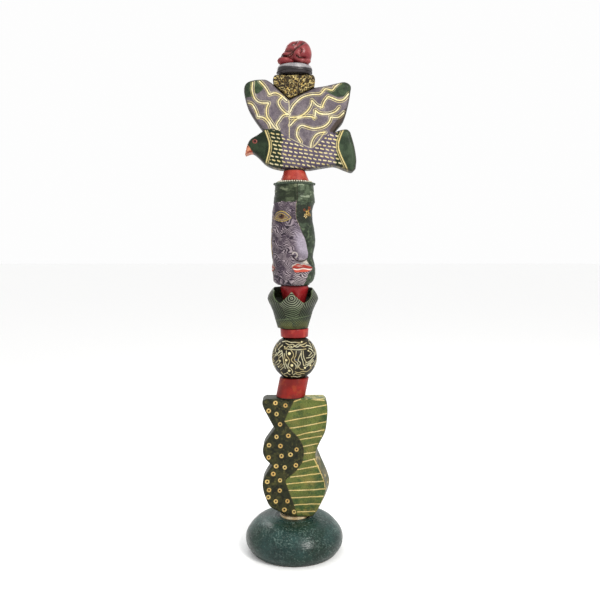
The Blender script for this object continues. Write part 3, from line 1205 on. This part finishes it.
def add_lips(paint, depth, groove, u, z):
    """Red lips with a pale parting, ending at each profile's edge."""
    x = u + 0.0285
    across = np.clip(1 - (x / 0.0295) ** 2, 0, 1)
    on = inside(np.abs(x), 0.0295, 0.0015)
    middle = 0.7945 + 0.0012 * np.sin((u + 0.002) * 190)
    bow = 0.0118 * across ** 0.8 * (1 - 0.38 * hump(x, 0.004, 0.0045)) + 0.0006
    pout = 0.0112 * across ** 0.8 + 0.0005
    upper = on * step(middle + bow - z, 0, 0.001) * step(z - middle, 0.0006, 0.0008)
    lower = on * step(middle - z, 0.0006, 0.0008) * step(z - middle + pout, 0, 0.001)
    outline = on * inside(np.abs(z - middle - bow - 0.0008), 0.0010, 0.001)
    parting = on * inside(np.abs(z - middle + 0.0020), 0.0016, 0.0012) * step(across, 0.25, 0.2)
    glint = on * hump(z, 0.8010, 0.0018) * hump(x, -0.006, 0.006)
    paint = mix(paint, rgb(222, 206, 190), 0.85 * outline)
    paint = mix(paint, rgb(166, 50, 36), upper)
    paint = mix(paint, rgb(196, 82, 62), lower)
    paint = mix(paint, rgb(244, 226, 214), np.maximum(parting * 0.9, 0.6 * glint))
    seam = on * inside(np.abs(z - middle), 0.0004, 0.0008)
    depth = depth * (1 - np.clip(upper + lower, 0, 1)) + 0.0016 * (upper + lower) * across - 0.0012 * seam
    return paint, depth, np.maximum(groove * (1 - np.clip(upper + lower + outline, 0, 1)), 0.5 * seam)


def rim_beads(top):
    """A row of small pressed clay beads round the cone's foot, all one mesh."""
    count, ring, sides = 46, 0.0480, 12
    points, faces = [], []
    fall = np.linspace(0.15, math.pi - 0.15, 7)
    for k in range(count):
        turn = k * math.tau / count
        size = 0.0026 + 0.0003 * math.sin(k * 2.7)
        centre = np.array([ring * math.sin(turn), -ring * math.cos(turn), top + size * 0.75])
        profile = np.stack([size * np.sin(fall), size * np.cos(fall)], 1)
        bead = revolve(profile, sides).reshape(-1, 3) + centre
        start = len(points) * len(bead)
        points.append(bead)
        faces += [[start + i for i in quad] for quad in grid_faces(len(fall), sides, False)]
        faces.append([start + i for i in range(sides)])
        faces.append([start + len(bead) - 1 - i for i in range(sides)])
    points = np.vstack(points)
    paint = streaked(rgb(252, 248, 226), rgb(206, 200, 166), points, 0.004, 181, 0.8)
    piece("head_beads", points, faces, paint, np.zeros(len(points)),
          glaze("bead_slip", rough=(0.35, 0.5), coat=0.2, mottle=0.1, grain=0.1, bump=0.2),
          "head", "head_glaze")


# ------------------------------------------------------------------ bird
BIRD_OUTLINE = [
    [(-0.1385, 1.1125), (-0.1370, 1.124), (-0.132, 1.142), (-0.123, 1.157), (-0.104, 1.169), (-0.088, 1.180)],
    [(-0.088, 1.180), (-0.101, 1.197), (-0.119, 1.223), (-0.133, 1.250), (-0.1415, 1.288),
     (-0.138, 1.310), (-0.121, 1.3205), (-0.0845, 1.324), (-0.065, 1.315)],
    [(-0.065, 1.315), (-0.014, 1.2675)],
    [(-0.014, 1.2675), (0.056, 1.301)],
    [(0.056, 1.301), (0.088, 1.306), (0.118, 1.313), (0.142, 1.3165), (0.158, 1.306),
     (0.157, 1.286), (0.151, 1.252), (0.139, 1.210), (0.121, 1.187), (0.111, 1.174)],
    [(0.111, 1.174), (0.126, 1.181), (0.147, 1.184), (0.157, 1.176)],
    [(0.157, 1.176), (0.168, 1.138), (0.174, 1.100), (0.172, 1.073)],
    [(0.172, 1.073), (0.162, 1.065), (0.144, 1.070), (0.115, 1.081), (0.090, 1.079), (0.045, 1.0713)],
    [(0.045, 1.0713), (-0.038, 1.0713)],
    [(-0.038, 1.0713), (-0.062, 1.077), (-0.082, 1.087), (-0.100, 1.105), (-0.118, 1.118), (-0.1385, 1.1125)],
]
# Each wing stroke is a broad cream line with a thin line beside it; the sign says on which side.
WING_STROKES = [
    ([(-0.0114, 1.231), (-0.003, 1.248), (0.020, 1.2695), (0.0455, 1.278), (0.071, 1.2795),
      (0.081, 1.289)], 1),
    ([(0.081, 1.289), (0.088, 1.295), (0.105, 1.291), (0.114, 1.301), (0.127, 1.3115)], 1),
    ([(0.094, 1.2735), (0.108, 1.268), (0.1225, 1.2625), (0.137, 1.265), (0.152, 1.282)], -1),
    ([(-0.0114, 1.2150), (0.014, 1.217), (0.034, 1.231), (0.0455, 1.248), (0.0485, 1.2625)], -1),
    ([(0.0485, 1.2625), (0.0625, 1.248), (0.077, 1.2425)], 1),
    ([(0.077, 1.2425), (0.084, 1.2595), (0.094, 1.2725)], 1),
    ([(-0.0114, 1.1925), (0.003, 1.208), (0.020, 1.2155), (0.043, 1.217), (0.057, 1.2125)], 1),
    ([(0.057, 1.2125), (0.0585, 1.234)], 1),
    ([(0.0585, 1.234), (0.071, 1.2255), (0.094, 1.224), (0.114, 1.231), (0.125, 1.2425)], 1),
    ([(0.017, 1.1455), (0.007, 1.1625), (0.0085, 1.1825), (0.020, 1.1925), (0.037, 1.188), (0.057, 1.184),
      (0.0825, 1.190), (0.0965, 1.2025), (0.101, 1.2155)], -1),
    ([(0.101, 1.2155), (0.1225, 1.2155), (0.138, 1.228)], 1),
    ([(0.0455, 1.1320), (0.0485, 1.1485), (0.0625, 1.1685), (0.0855, 1.174)], -1),
    ([(-0.1165, 1.313), (-0.118, 1.291), (-0.111, 1.268), (-0.097, 1.2565), (-0.072, 1.2545)], 1),
    ([(-0.072, 1.2545), (-0.078, 1.2395), (-0.077, 1.2195), (-0.0685, 1.2055), (-0.057, 1.1885),
      (-0.0485, 1.180)], 1),
    ([(-0.098, 1.3165), (-0.0825, 1.2995), (-0.0705, 1.279)], 1),
    ([(-0.0705, 1.279), (-0.054, 1.2835), (-0.037, 1.2765), (-0.0215, 1.2625)], -1),
    ([(-0.034, 1.2735), (-0.0455, 1.2595), (-0.040, 1.2425), (-0.0255, 1.228), (-0.0165, 1.2235)], 1),
    ([(-0.0165, 1.2235), (-0.0315, 1.221), (-0.0425, 1.208), (-0.050, 1.194), (-0.0455, 1.1825)], 1),
    ([(-0.1325, 1.2565), (-0.118, 1.251), (-0.108, 1.234), (-0.1025, 1.217)], 1),
    ([(-0.101, 1.217), (-0.0855, 1.214), (-0.071, 1.1995), (-0.0655, 1.1855)], -1),
]
WING_THIN = [
    [(-0.0155, 1.2620), (-0.0143, 1.2225), (-0.0143, 1.1883), (-0.0143, 1.157)],
    [(-0.0143, 1.157), (0.0142, 1.1428), (0.0455, 1.1299), (0.0626, 1.1399), (0.0939, 1.1684)],
    [(0.054, 1.1342), (0.0683, 1.1513), (0.0825, 1.1712)],
]
WING_EDGE = [
    (-0.0890, 1.183), (-0.0485, 1.180), (-0.0143, 1.157), (0.0142, 1.1428), (0.0455, 1.1299),
    (0.0626, 1.1399), (0.0939, 1.1700), (0.112, 1.176),
]
NECK_LINE = [(-0.0812, 1.1785), (-0.0704, 1.1456), (-0.0704, 1.1228), (-0.0803, 1.0840)]
TAIL_LINE = [(0.1400, 1.1880), (0.1266, 1.157), (0.1224, 1.1342), (0.1295, 1.1086), (0.1500, 1.0660)]
RIGHT_TIP = [
    (0.088, 1.2880), (0.108, 1.2922), (0.1224, 1.3036), (0.135, 1.325), (0.170, 1.318),
    (0.168, 1.284), (0.1440, 1.2745), (0.1224, 1.2717), (0.1081, 1.2766),
]
LEFT_TIPS = ([(-0.150, 1.270), (-0.150, 1.330), (-0.1185, 1.330), (-0.1200, 1.2879), (-0.1165, 1.2737)],
             [(-0.1135, 1.330), (-0.100, 1.330), (-0.0854, 1.2995), (-0.1035, 1.2808), (-0.1125, 1.2908)])
EYE = (-0.1105, 1.1480)
BROAD, THIN, THIN_GAP = 0.00180, 0.00065, 0.0056


def bird():
    """A flat hollow bird, wings raised: cream strokes on the wings and dashes on the body."""
    half_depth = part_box("bird")[1].y
    points, faces, deep, side = slab(runs_to_outline(BIRD_OUTLINE), half_depth - 0.001, 0.0135, 0.00132,
                                     crown=0.0025)
    flat = points[:, [0, 2]]
    wing = step(flat[:, 1] - read([(x, z) for x, z in smooth(WING_EDGE)], flat[:, 0]), 0.0, 0.001)
    wing = np.maximum(wing, (flat[:, 1] > 1.182).astype(float))
    paint = bird_wings(points, flat)
    body_paint, body_lift = bird_body(points, flat)
    paint = mix(body_paint, paint, wing)
    line, lift_line, groove = wing_lines(flat)
    rim = step(np.clip(1 - deep / 0.0085, 0, 1), 0.55, 0.5)
    keep = 1 - rim
    slip = streaked(rgb(244, 226, 164), rgb(252, 242, 206), points, 0.01, 191)
    paint = mix(paint, slip, line * wing * keep)
    lift = body_lift * (1 - wing) + lift_line * wing
    groove = groove * wing * keep
    paint, lift, groove = bird_head(paint, lift, groove, points, flat)
    paint, lift, groove = bird_tail(paint, lift, groove, points, flat)
    edge_dark = mottled(rgb(40, 38, 34), rgb(62, 56, 48), points, 0.02, 193, 0, 0.7)
    beak = inside(flat[:, 0], -0.1165, 0.004) * (flat[:, 1] < 1.135)
    paint = mix(paint, edge_dark, 0.75 * rim * (1 - beak))
    face = on_face(side)
    lift = np.where(face, lift * keep, 0) + 0.00018 * cloud(points, 0.006, 195)
    points = push(points, side, lift)
    piece("bird_carved", points, faces, paint, np.where(face, groove, 0),
          glaze("bird_slips", rough=(0.38, 0.6), coat=0.15, mottle=0.16, grain=0.2, bump=0.5),
          "bird", "bird_glaze", "bird")


def wing_lines(flat):
    """Masks of the cream strokes, their relief, and the dark groove between broad and thin lines."""
    line, groove = np.zeros(len(flat)), np.zeros(len(flat))
    for stroke, hand in WING_STROKES:
        away, turned = to_line(flat, smooth(stroke), 0.009)
        signed = away * turned * hand
        broad = inside(away, BROAD, 0.0008)
        thin = inside(np.abs(signed - THIN_GAP), THIN, 0.0009) * 0.9
        far_thin = inside(np.abs(signed + THIN_GAP * 0.85), THIN * 0.7, 0.0009) * 0.55
        line = np.maximum.reduce([line, broad, thin, far_thin])
        trench = np.maximum(inside(np.abs(signed - THIN_GAP * 0.60), 0.0008, 0.0009),
                            0.6 * inside(np.abs(signed + THIN_GAP * 0.55), 0.0006, 0.0009))
        groove = np.maximum(groove, trench)
    for stroke in WING_THIN:
        away, _ = to_line(flat, smooth(stroke), 0.005)
        line = np.maximum(line, 0.9 * inside(away, 0.0009, 0.0010))
    return line, 0.0003 * line - 0.0008 * groove, 0.8 * groove * (1 - line)


def bird_wings(points, flat):
    """Dusty purple grey with dark green tips and a brown strip down the right wing's edge."""
    upright = points * np.array([1, 1, 0.6])
    paint = mottled(rgb(108, 98, 112), rgb(130, 120, 132), upright, 0.02, 201, 0, 0.8)
    paint = mix(paint, rgb(88, 80, 98), 0.5 * step(cloud(points, 0.009, 203), 0.15, 0.4))
    tips = np.zeros(len(flat))
    for patch in (RIGHT_TIP,) + LEFT_TIPS:
        closed = smooth(patch + patch[:1], 4)
        away = to_line(flat, closed)[0] * np.where(within(flat, closed[:-1]), 1, -1)
        tips = np.maximum(tips, step(away, 0.0, 0.0014))
    paint = mix(paint, mottled(rgb(42, 56, 42), rgb(66, 84, 62), points, 0.012, 205, 0, 0.7), tips)
    strip = inside(to_line(flat, np.array([(0.146, 1.233), (0.106, 1.178)]))[0], 0.0075, 0.004)
    return mix(paint, rgb(66, 52, 44), 0.85 * strip)


def bird_body(points, flat):
    """Dark green breast, purple flank and short sloping cream dashes in staggered rows."""
    ragged = 0.004 * noise(points, 0.012, 211)
    front = step(-0.034 - flat[:, 0] + ragged, 0.0, 0.008)
    rear = step(flat[:, 0] - 0.116 + ragged, 0.0, 0.006)
    paint = mottled(rgb(82, 72, 98), rgb(104, 94, 118), points, 0.015, 213, 0, 0.8)
    paint = mix(paint, rgb(26, 42, 26), np.maximum(front, rear))
    row_height, dash_pitch = 0.0105, 0.0142
    sloped = flat[:, 1] + 0.16 * flat[:, 0] + 0.0009 * noise(points, 0.03, 215)
    row = np.floor(sloped / row_height)
    shifted = flat[:, 0] / dash_pitch + 0.5 * (row % 2) + 0.16 * np.sin(row * 4.1)
    cell = np.floor(shifted)
    jitter = np.sin(cell * 12.9 + row * 78.2)
    x = (shifted - cell - 0.5 + 0.07 * jitter) * dash_pitch
    z = (sloped / row_height - row - 0.5) * row_height
    tilt = 0.12 + 0.16 * np.sin(cell * 5.3 + row * 3.1)
    along, across = x, z + tilt * x
    reach = 0.0032 + 0.0006 * np.sin(cell * 7.7 + row)
    away = np.maximum(np.abs(along) - reach, 0)
    dash = inside(np.hypot(away, across), 0.0018, 0.0010)
    start, end = read(flip(NECK_LINE), flat[:, 1]), read(flip(TAIL_LINE), flat[:, 1])
    dash *= step(flat[:, 0] - start, 0.008, 0.002) * step(end - flat[:, 0], 0.007, 0.002)
    top_gap = to_line(flat, smooth(WING_EDGE))[0]
    dash *= step(top_gap, 0.0030, 0.001)
    paint = mix(paint, mix(CREAM, CREAM_PALE, 0.5 + 0.4 * jitter), dash)
    return paint, -0.0006 * dash


def flip(line):
    """A line as a table of x by rising z."""
    curve = smooth(line)
    return sorted((z, x) for x, z in curve)


def bird_head(paint, lift, groove, points, flat):
    """Dark green head with a red eye and a salmon beak, closed off by the neck line."""
    neck = read(flip(NECK_LINE), flat[:, 1])
    on = step(neck - flat[:, 0], 0.0, 0.001) * (flat[:, 1] < 1.1815)
    paint = mix(paint, mottled(rgb(22, 36, 22), rgb(42, 58, 40), points, 0.012, 221, 0.1, 0.6), on)
    paint, lift, groove = double_line(paint, lift, groove, flat, on, NECK_LINE, 1, 1.180, (0.0055, 0.0034))
    eye = np.hypot(flat[:, 0] - EYE[0], (flat[:, 1] - EYE[1]) * 1.1)
    paint = mix(paint, rgb(128, 52, 48), inside(eye, 0.0068, 0.0012))
    paint = mix(paint, rgb(50, 16, 18), inside(eye, 0.0040, 0.0010))
    paint = mix(paint, rgb(196, 120, 110), 0.6 * band(eye - 0.0054, 0.0006, 0.0008))
    lift = lift + 0.0016 * inside(eye, 0.0060, 0.0018) - 0.0016 * inside(eye, 0.0024, 0.0014)
    slope = flat[:, 0] + 0.1241 + 0.6 * (flat[:, 1] - 1.1300)
    beak = inside(slope, 0.0, 0.0012) * (flat[:, 1] < 1.144)
    salmon = streaked(rgb(222, 150, 122), rgb(190, 96, 76), points, 0.006, 223, 0.8)
    paint = mix(paint, salmon, beak)
    mouth = inside(to_line(flat, np.array([(-0.1335, 1.1190), (-0.1180, 1.1215)]))[0], 0.0010, 0.0010)
    paint = mix(paint, rgb(150, 40, 36), mouth)
    return paint, lift - 0.0012 * mouth, np.maximum(groove, 0.2 * mouth)


def bird_tail(paint, lift, groove, points, flat):
    """Plain grey-green tail behind a cream double line."""
    edge, top = read(flip(TAIL_LINE), flat[:, 1]), 1.1865
    on = step(flat[:, 0] - edge, 0.0, 0.001) * (flat[:, 1] < top)
    paint = mix(paint, mottled(rgb(40, 56, 40), rgb(62, 78, 60), points, 0.018, 231, 0, 0.7), on)
    return double_line(paint, lift, groove, flat, on, TAIL_LINE, -1, top, (0.0052, 0.0033))


def double_line(paint, lift, groove, flat, on, line, hand, top, places):
    """Below top, a broad cream line, with a groove and a thin line at places to the right (hand 1) or left.

    The relief of the body ends where on starts.
    """
    below = (flat[:, 1] < top).astype(float)
    away, _ = to_line(flat, smooth(line))
    beside = step(hand * (flat[:, 0] - read(flip(line), flat[:, 1])), 0, 0.001) * below
    broad = inside(away, 0.0018, 0.001) * below
    thin = band(away - places[0], 0.0008, 0.001) * beside
    gap = band(away - places[1], 0.0006, 0.001) * beside
    paint = mix(paint, CREAM, np.maximum(broad, thin))
    lift = lift * (1 - on) + 0.0003 * broad - 0.0007 * gap
    return paint, lift, np.maximum(groove * (1 - on), 0.5 * gap)


# ------------------------------------------------------------------ wedge, ring and topknot
WEDGE_OUTLINE = [
    [(-0.014, 1.2686), (-0.0595, 1.3110)],
    [(-0.0595, 1.3110), (-0.0600, 1.3225), (-0.0565, 1.3320), (-0.050, 1.3350)],
    [(-0.050, 1.3350), (0.052, 1.3350)],
    [(0.052, 1.3350), (0.0570, 1.3270), (0.0575, 1.3140), (0.0550, 1.3016)],
    [(0.0550, 1.3016), (-0.014, 1.2686)],
]


def texture_wedge():
    """A slab of worm-like cream relief on black, set in the V of the wings."""
    half_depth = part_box("texture_wedge")[1].y
    points, faces, deep, side = slab(runs_to_outline(WEDGE_OUTLINE), half_depth, 0.0045, 0.0011)
    warped = points + 0.004 * np.stack([cloud(points, 0.012, 241), np.zeros(len(points)),
                                        cloud(points, 0.012, 243)], 1)
    field = cloud(warped * np.array([1.2, 1.0, 0.85]), 0.0052, 245, 2)
    worm = inside(np.abs(field), 0.075, 0.08)
    chip = step(cloud(points, 0.0035, 247, 2), 0.30, 0.15)
    ground = mottled(rgb(18, 18, 12), rgb(56, 50, 24), points, 0.02, 249, 0.1, 0.7)
    slip = streaked(rgb(226, 208, 140), rgb(186, 158, 84), points, 0.009, 251, 0.8)
    paint = mix(ground, slip, worm)
    paint = mix(paint, rgb(226, 212, 150), 0.8 * chip)
    lift = 0.0008 * worm + 0.0005 * chip - 0.0004
    face = on_face(side)
    paint = mix(paint, ground, np.where(deep < 0.0012, 0.7, 0.0) * face)
    points = push(points, side, np.where(face, lift * (deep > 0.001), 0))
    piece("wedge_carved", points, faces, paint, 0.35 * (1 - worm) * face,
          glaze("wedge_slip", rough=(0.45, 0.7), coat=0.08, mottle=0.2, grain=0.25, bump=0.6),
          "bird", "carved_dark", "texture_wedge")


def grey_ring():
    """A thick grey ring, ribbed at the side and paler over its top."""
    low, high, radius = column("grey_ring")
    body = smooth([(0.030, high - 0.0005), (0.0400, high), (radius - 0.0035, high - 0.0030),
                   (radius - 0.0003, high - 0.0110), (radius, high - 0.0200), (radius - 0.0015, low + 0.0100),
                   (radius - 0.0060, low + 0.0030), (radius - 0.0140, low)])
    rows = np.vstack([[(BORE, high - 0.0010)], resample(body, 0.0013), [(BORE, low)]])
    columns = 300
    points, normal = turned(rows, columns)
    turn = turn_of(points)
    away = step(from_rod(points), 0.012, 0.006)
    waist = -0.0011 * hump(points[:, 2], (low + high) / 2 + 0.002 * np.sin(turn * 3), 0.0035)
    rib = np.sin(points[:, 2] * 1900 + 1.5 * np.sin(turn * 4) + 2 * noise(points, 0.02, 262))
    rib = rib * inside(points[:, 2], high - 0.0105, 0.003)
    lift = away * (waist + 0.0006 * cloud(points, 0.020, 261) + 0.00025 * cloud(points, 0.004, 263)
                   + 0.0003 * rib)
    points = points + normal * lift[:, None]
    points[:, 2] = np.clip(points[:, 2], low, high)
    level = points * np.array([0.4, 0.4, 2.0])
    side = mottled(rgb(56, 53, 56), rgb(84, 80, 84), level, 0.008, 265, 0, 0.8)
    side = mix(side, rgb(30, 28, 30), 0.5 * step(-rib, 0.3, 0.4))
    top = mottled(rgb(160, 160, 166), rgb(196, 196, 200), points, 0.010, 267, 0, 0.8)
    wave = 0.0026 * np.sin(turn * 3 + 0.6) + 0.0016 * noise(points, 0.014, 269)
    upper = step(points[:, 2] + wave, high - 0.0110, 0.0030)
    paint = mix(side, top, upper)
    paint = mix(paint, rgb(30, 28, 28), inside(points[:, 2], low + 0.003, 0.004) * 0.8)
    piece("grey_ring_glazed", points, grid_faces(len(rows), columns, True), paint, np.zeros(len(points)),
          glaze("grey_glaze", rough=(0.3, 0.5), coat=0.25, mottle=0.2, grain=0.25, bump=0.5,
                streak=(1, 1, 2.5)), "grey_ring", "grey_glaze", "grey_ring")


# The height that the topknot's folds and creases are laid out for, and its socket's depth.
KNOT_HEIGHT, KNOT_SOCKET = 0.0650, 0.030
# Its folds: groups of rounded lobes, each with its centre above the base and its radii.
KNOT_FOLDS = [
    [((0.0180, 0.0050, 0.0300), (0.0310, 0.0340, 0.0350)),
     ((-0.0010, 0.0020, 0.0270), (0.0290, 0.0310, 0.0350)),
     ((-0.0180, 0.0100, 0.0160), (0.0240, 0.0300, 0.0220))],
    [((0.0110, -0.0270, 0.0320), (0.0095, 0.0090, 0.0080)),
     ((0.0070, -0.0300, 0.0240), (0.0100, 0.0095, 0.0095)),
     ((0.0070, -0.0310, 0.0150), (0.0110, 0.0100, 0.0100)),
     ((0.0180, -0.0300, 0.0090), (0.0130, 0.0110, 0.0085)),
     ((0.0330, -0.0230, 0.0070), (0.0130, 0.0140, 0.0070))],
    [((-0.0200, -0.0120, 0.0220), (0.0190, 0.0210, 0.0095)),
     ((-0.0080, -0.0150, 0.0280), (0.0110, 0.0160, 0.0095))],
    [((-0.0280, -0.0150, 0.0095), (0.0205, 0.0210, 0.0110)),
     ((-0.0140, -0.0200, 0.0060), (0.0140, 0.0160, 0.0080))],
    [((0.0160, 0.0240, 0.0140), (0.0270, 0.0220, 0.0190)),
     ((-0.0140, 0.0240, 0.0120), (0.0250, 0.0200, 0.0160))],
]
# Creases pressed into it as seen from the front, x and height, and from the back.
KNOT_FRONT = [
    [(0.0300, 0.0600), (0.0190, 0.0500), (0.0060, 0.0410), (-0.0060, 0.0300)],
    [(0.0080, 0.0600), (0.0030, 0.0540), (-0.0060, 0.0490)],
    [(-0.0400, 0.0220), (-0.0260, 0.0190), (-0.0140, 0.0230), (-0.0080, 0.0300)],
    [(0.0060, 0.0180), (0.0160, 0.0130), (0.0300, 0.0150)],
]
KNOT_BACK = [
    [(-0.0250, 0.0480), (0.0000, 0.0380), (0.0260, 0.0420)],
    [(-0.0300, 0.0220), (-0.0060, 0.0280), (0.0120, 0.0120)],
]


def topknot():
    """A crumpled lump of folded clay with a blind socket for the rod's end."""
    low, high, _ = column("topknot")
    columns, levels = 300, 190
    eye = np.array([0.0, 0.0, 0.0150])
    last = math.pi - math.atan2(BORE, eye[2])
    fall, angle = np.meshgrid(np.linspace(0.004, last, levels), turns(columns), indexing="ij")
    ray = np.stack([np.sin(fall) * np.sin(angle), -np.sin(fall) * np.cos(angle), np.cos(fall)], -1)
    ray = ray.reshape(-1, 3)
    points, fold, shade = crumpled(eye, ray, high - low)
    to_floor = np.where(ray[:, 2] < 0, -eye[2] / np.minimum(ray[:, 2], -1e-6), 1e9)
    reach = np.minimum(np.linalg.norm(points - eye, axis=1), to_floor)
    points = eye + ray * reach[:, None]
    points[:, 2] = np.clip(points[:, 2], 0, high - low) + low
    wall = revolve(np.array([(BORE, low + 0.004), (BORE, low + KNOT_SOCKET)]), columns).reshape(-1, 3)
    points = np.vstack([points, wall])
    faces = grid_faces(levels + 2, columns, False)
    faces.append(list(range(columns)))
    faces.append(list(range(len(points) - 1, len(points) - 1 - columns, -1)))
    fold, shade = (np.concatenate([mask, np.zeros(len(wall))]) for mask in (fold, shade))
    paint = mottled(rgb(152, 48, 56), rgb(190, 90, 90), points, 0.022, 275, 0.0, 0.7)
    paint = mix(paint, rgb(148, 44, 50), 0.6 * step(cloud(points, 0.010, 277), 0.25, 0.4))
    brown = step(cloud(points, 0.016, 279), 0.30, 0.2) * inside(points[:, 2], low + 0.020, 0.016)
    paint = mix(paint, rgb(176, 122, 96), 0.6 * brown)
    paint = mix(paint, rgb(96, 22, 30), 0.65 * shade)
    piece("topknot_glazed", points, faces, paint, 0.85 * fold,
          glaze("rose_glaze", rough=(0.25, 0.45), coat=0.35, mottle=0.15, grain=0.12, bump=0.3),
          "topknot", "rose_glaze", "topknot")


def crumpled(eye, ray, height):
    """Where each ray leaves the folded lump, and how deep in a crease and in its shade it is."""
    stretch = np.array([1, 1, height / KNOT_HEIGHT])
    folds = np.array([merge([ray_to_lobe(eye, ray, centre * stretch, radii * stretch)
                             for centre, radii in lobes], 0.0030) for lobes in KNOT_FOLDS])
    ordered = np.sort(folds, axis=0)
    valley = hump(ordered[-1] - ordered[-2], 0.0, 0.0036) * step(ordered[-2], 0.014, 0.004)
    reach = merge(folds, 0.0008) - 0.0034 * valley
    reach += 0.0008 * cloud(ray * 0.04, 0.018, 271) + 0.0003 * cloud(ray * 0.04, 0.006, 273)
    points = eye + ray * reach[:, None]
    facing = step(-points[:, 1], 0.004, 0.008)
    fold, soft = np.maximum(knot_fold(points, height, KNOT_FRONT, facing),
                            knot_fold(points, height, KNOT_BACK, 1 - facing))
    points -= ray * (0.0032 * fold + 0.0026 * soft)[:, None]
    return points, np.maximum(fold, 0.8 * valley), np.maximum(soft, valley)


def merge(reaches, soft):
    """The furthest of several reaches, rounded off where two are about equal."""
    return soft * np.log(np.sum(np.exp(np.array(reaches) / soft), axis=0))


def ray_to_lobe(start, ray, centre, radii):
    """How far from start each ray leaves an ellipsoid, or 0 where it misses."""
    origin, heading = (start - centre) / radii, ray / radii
    a = np.sum(heading ** 2, 1)
    b = heading @ origin
    room = b * b - a * (origin @ origin - 1)
    return np.where(room > 0, (-b + np.sqrt(np.maximum(room, 0))) / a, 0)


def knot_fold(points, height, lines, facing):
    """The sharp bottom and the soft sides of creases pressed in from one side."""
    flat = points[:, [0, 2]] * np.array([1, KNOT_HEIGHT / height])
    away = near_lines(flat, [smooth(line) for line in lines])
    return inside(away, 0.0016, 0.0022) * facing, inside(away, 0.0044, 0.0060) * facing


# ------------------------------------------------------------------ shown CAD nodes, stage, light, camera
def dress_cad():
    """Better steel and rubber on the CAD nodes that stay in view."""
    steel = plain("zinc_steel", (0.40, 0.41, 0.42), 0.34, 1.0, 160.0, (1, 1, 6))
    rubber = plain("black_rubber", (0.018, 0.018, 0.018), 0.8, 0.0, 300.0)
    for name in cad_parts:
        node = bpy.data.objects.get(name)
        if node is None or node.hide_render:
            continue
        wanted = rubber if name.endswith("washer") else steel
        for index in range(len(node.data.materials)):
            node.data.materials[index] = wanted


FLOOR_HALF = 40


def stage_floor():
    """A wide pale floor under the object."""
    mesh = bpy.data.meshes.new("floor")
    far = FLOOR_HALF
    mesh.from_pydata([(-far, -far, 0), (far, -far, 0), (far, far, 0), (-far, far, 0)], [], [(0, 1, 2, 3)])
    floor = bpy.data.objects.new("floor", mesh)
    bpy.context.scene.collection.objects.link(floor)
    mesh.materials.append(plain("pale_floor", (0.97, 0.97, 0.965), 0.9, scale=60.0, bump=0.01,
                                tones=(0.98, 1.01)))


def area_light(name, place, aim, size, power, tint):
    """A round light at place, turned towards aim."""
    lamp = bpy.data.lights.new(name, "AREA")
    lamp.shape = "DISK"
    lamp.size = size
    lamp.energy = power
    lamp.color = tint
    made = bpy.data.objects.new(name, lamp)
    bpy.context.scene.collection.objects.link(made)
    made.location = place
    made.rotation_euler = (Vector(aim) - Vector(place)).to_track_quat("-Z", "Y").to_euler()


# Each light's name, place, aim, width, power and tint.
LIGHTS = (
    ("key", (1.5, -2.1, 2.5), (0, 0, 0.8), 1.1, 76, (1.0, 0.98, 0.95)),
    ("fill", (-2.2, -1.6, 1.2), (0, 0, 0.7), 2.0, 5, (0.97, 0.98, 1.0)),
    ("rim", (-0.8, 2.2, 2.2), (0, 0, 0.9), 1.5, 22, (1, 1, 1)),
)
WORLD_GREY = 0.985
CAMERA_PLACE = (0.0, -1.93, 0.845)
CAMERA_SHIFT = (0.0093, -0.0833)
SENSOR_WIDTH, FOCAL_LENGTH = 36, 40.8


def light_and_camera():
    """Soft studio light and a level camera in front."""
    for light in LIGHTS:
        area_light(*light)
    bpy.context.scene.view_settings.view_transform = "Standard"
    world = bpy.data.worlds.new("studio")
    bpy.context.scene.world = world
    world.use_nodes = True
    background = world.node_tree.nodes["Background"]
    background.inputs["Color"].default_value = (WORLD_GREY, WORLD_GREY, WORLD_GREY, 1)
    background.inputs["Strength"].default_value = 1.0
    lens = bpy.data.cameras.new("camera")
    lens.sensor_width = SENSOR_WIDTH
    lens.lens = FOCAL_LENGTH
    lens.shift_x, lens.shift_y = CAMERA_SHIFT
    lens.clip_start = 0.01
    camera = bpy.data.objects.new("camera", lens)
    bpy.context.scene.collection.objects.link(camera)
    camera.location = CAMERA_PLACE
    camera.rotation_euler = (math.radians(90), 0, 0)
    bpy.context.scene.camera = camera


for build in (base_dome, seat_disc, lower_block, leaning_collar, ball, ring_collar, petal_cup, tapered_collar,
              head, cone_collar, bird, texture_wedge, grey_ring, topknot, dress_cad, stage_floor,
              light_and_camera):
    build()
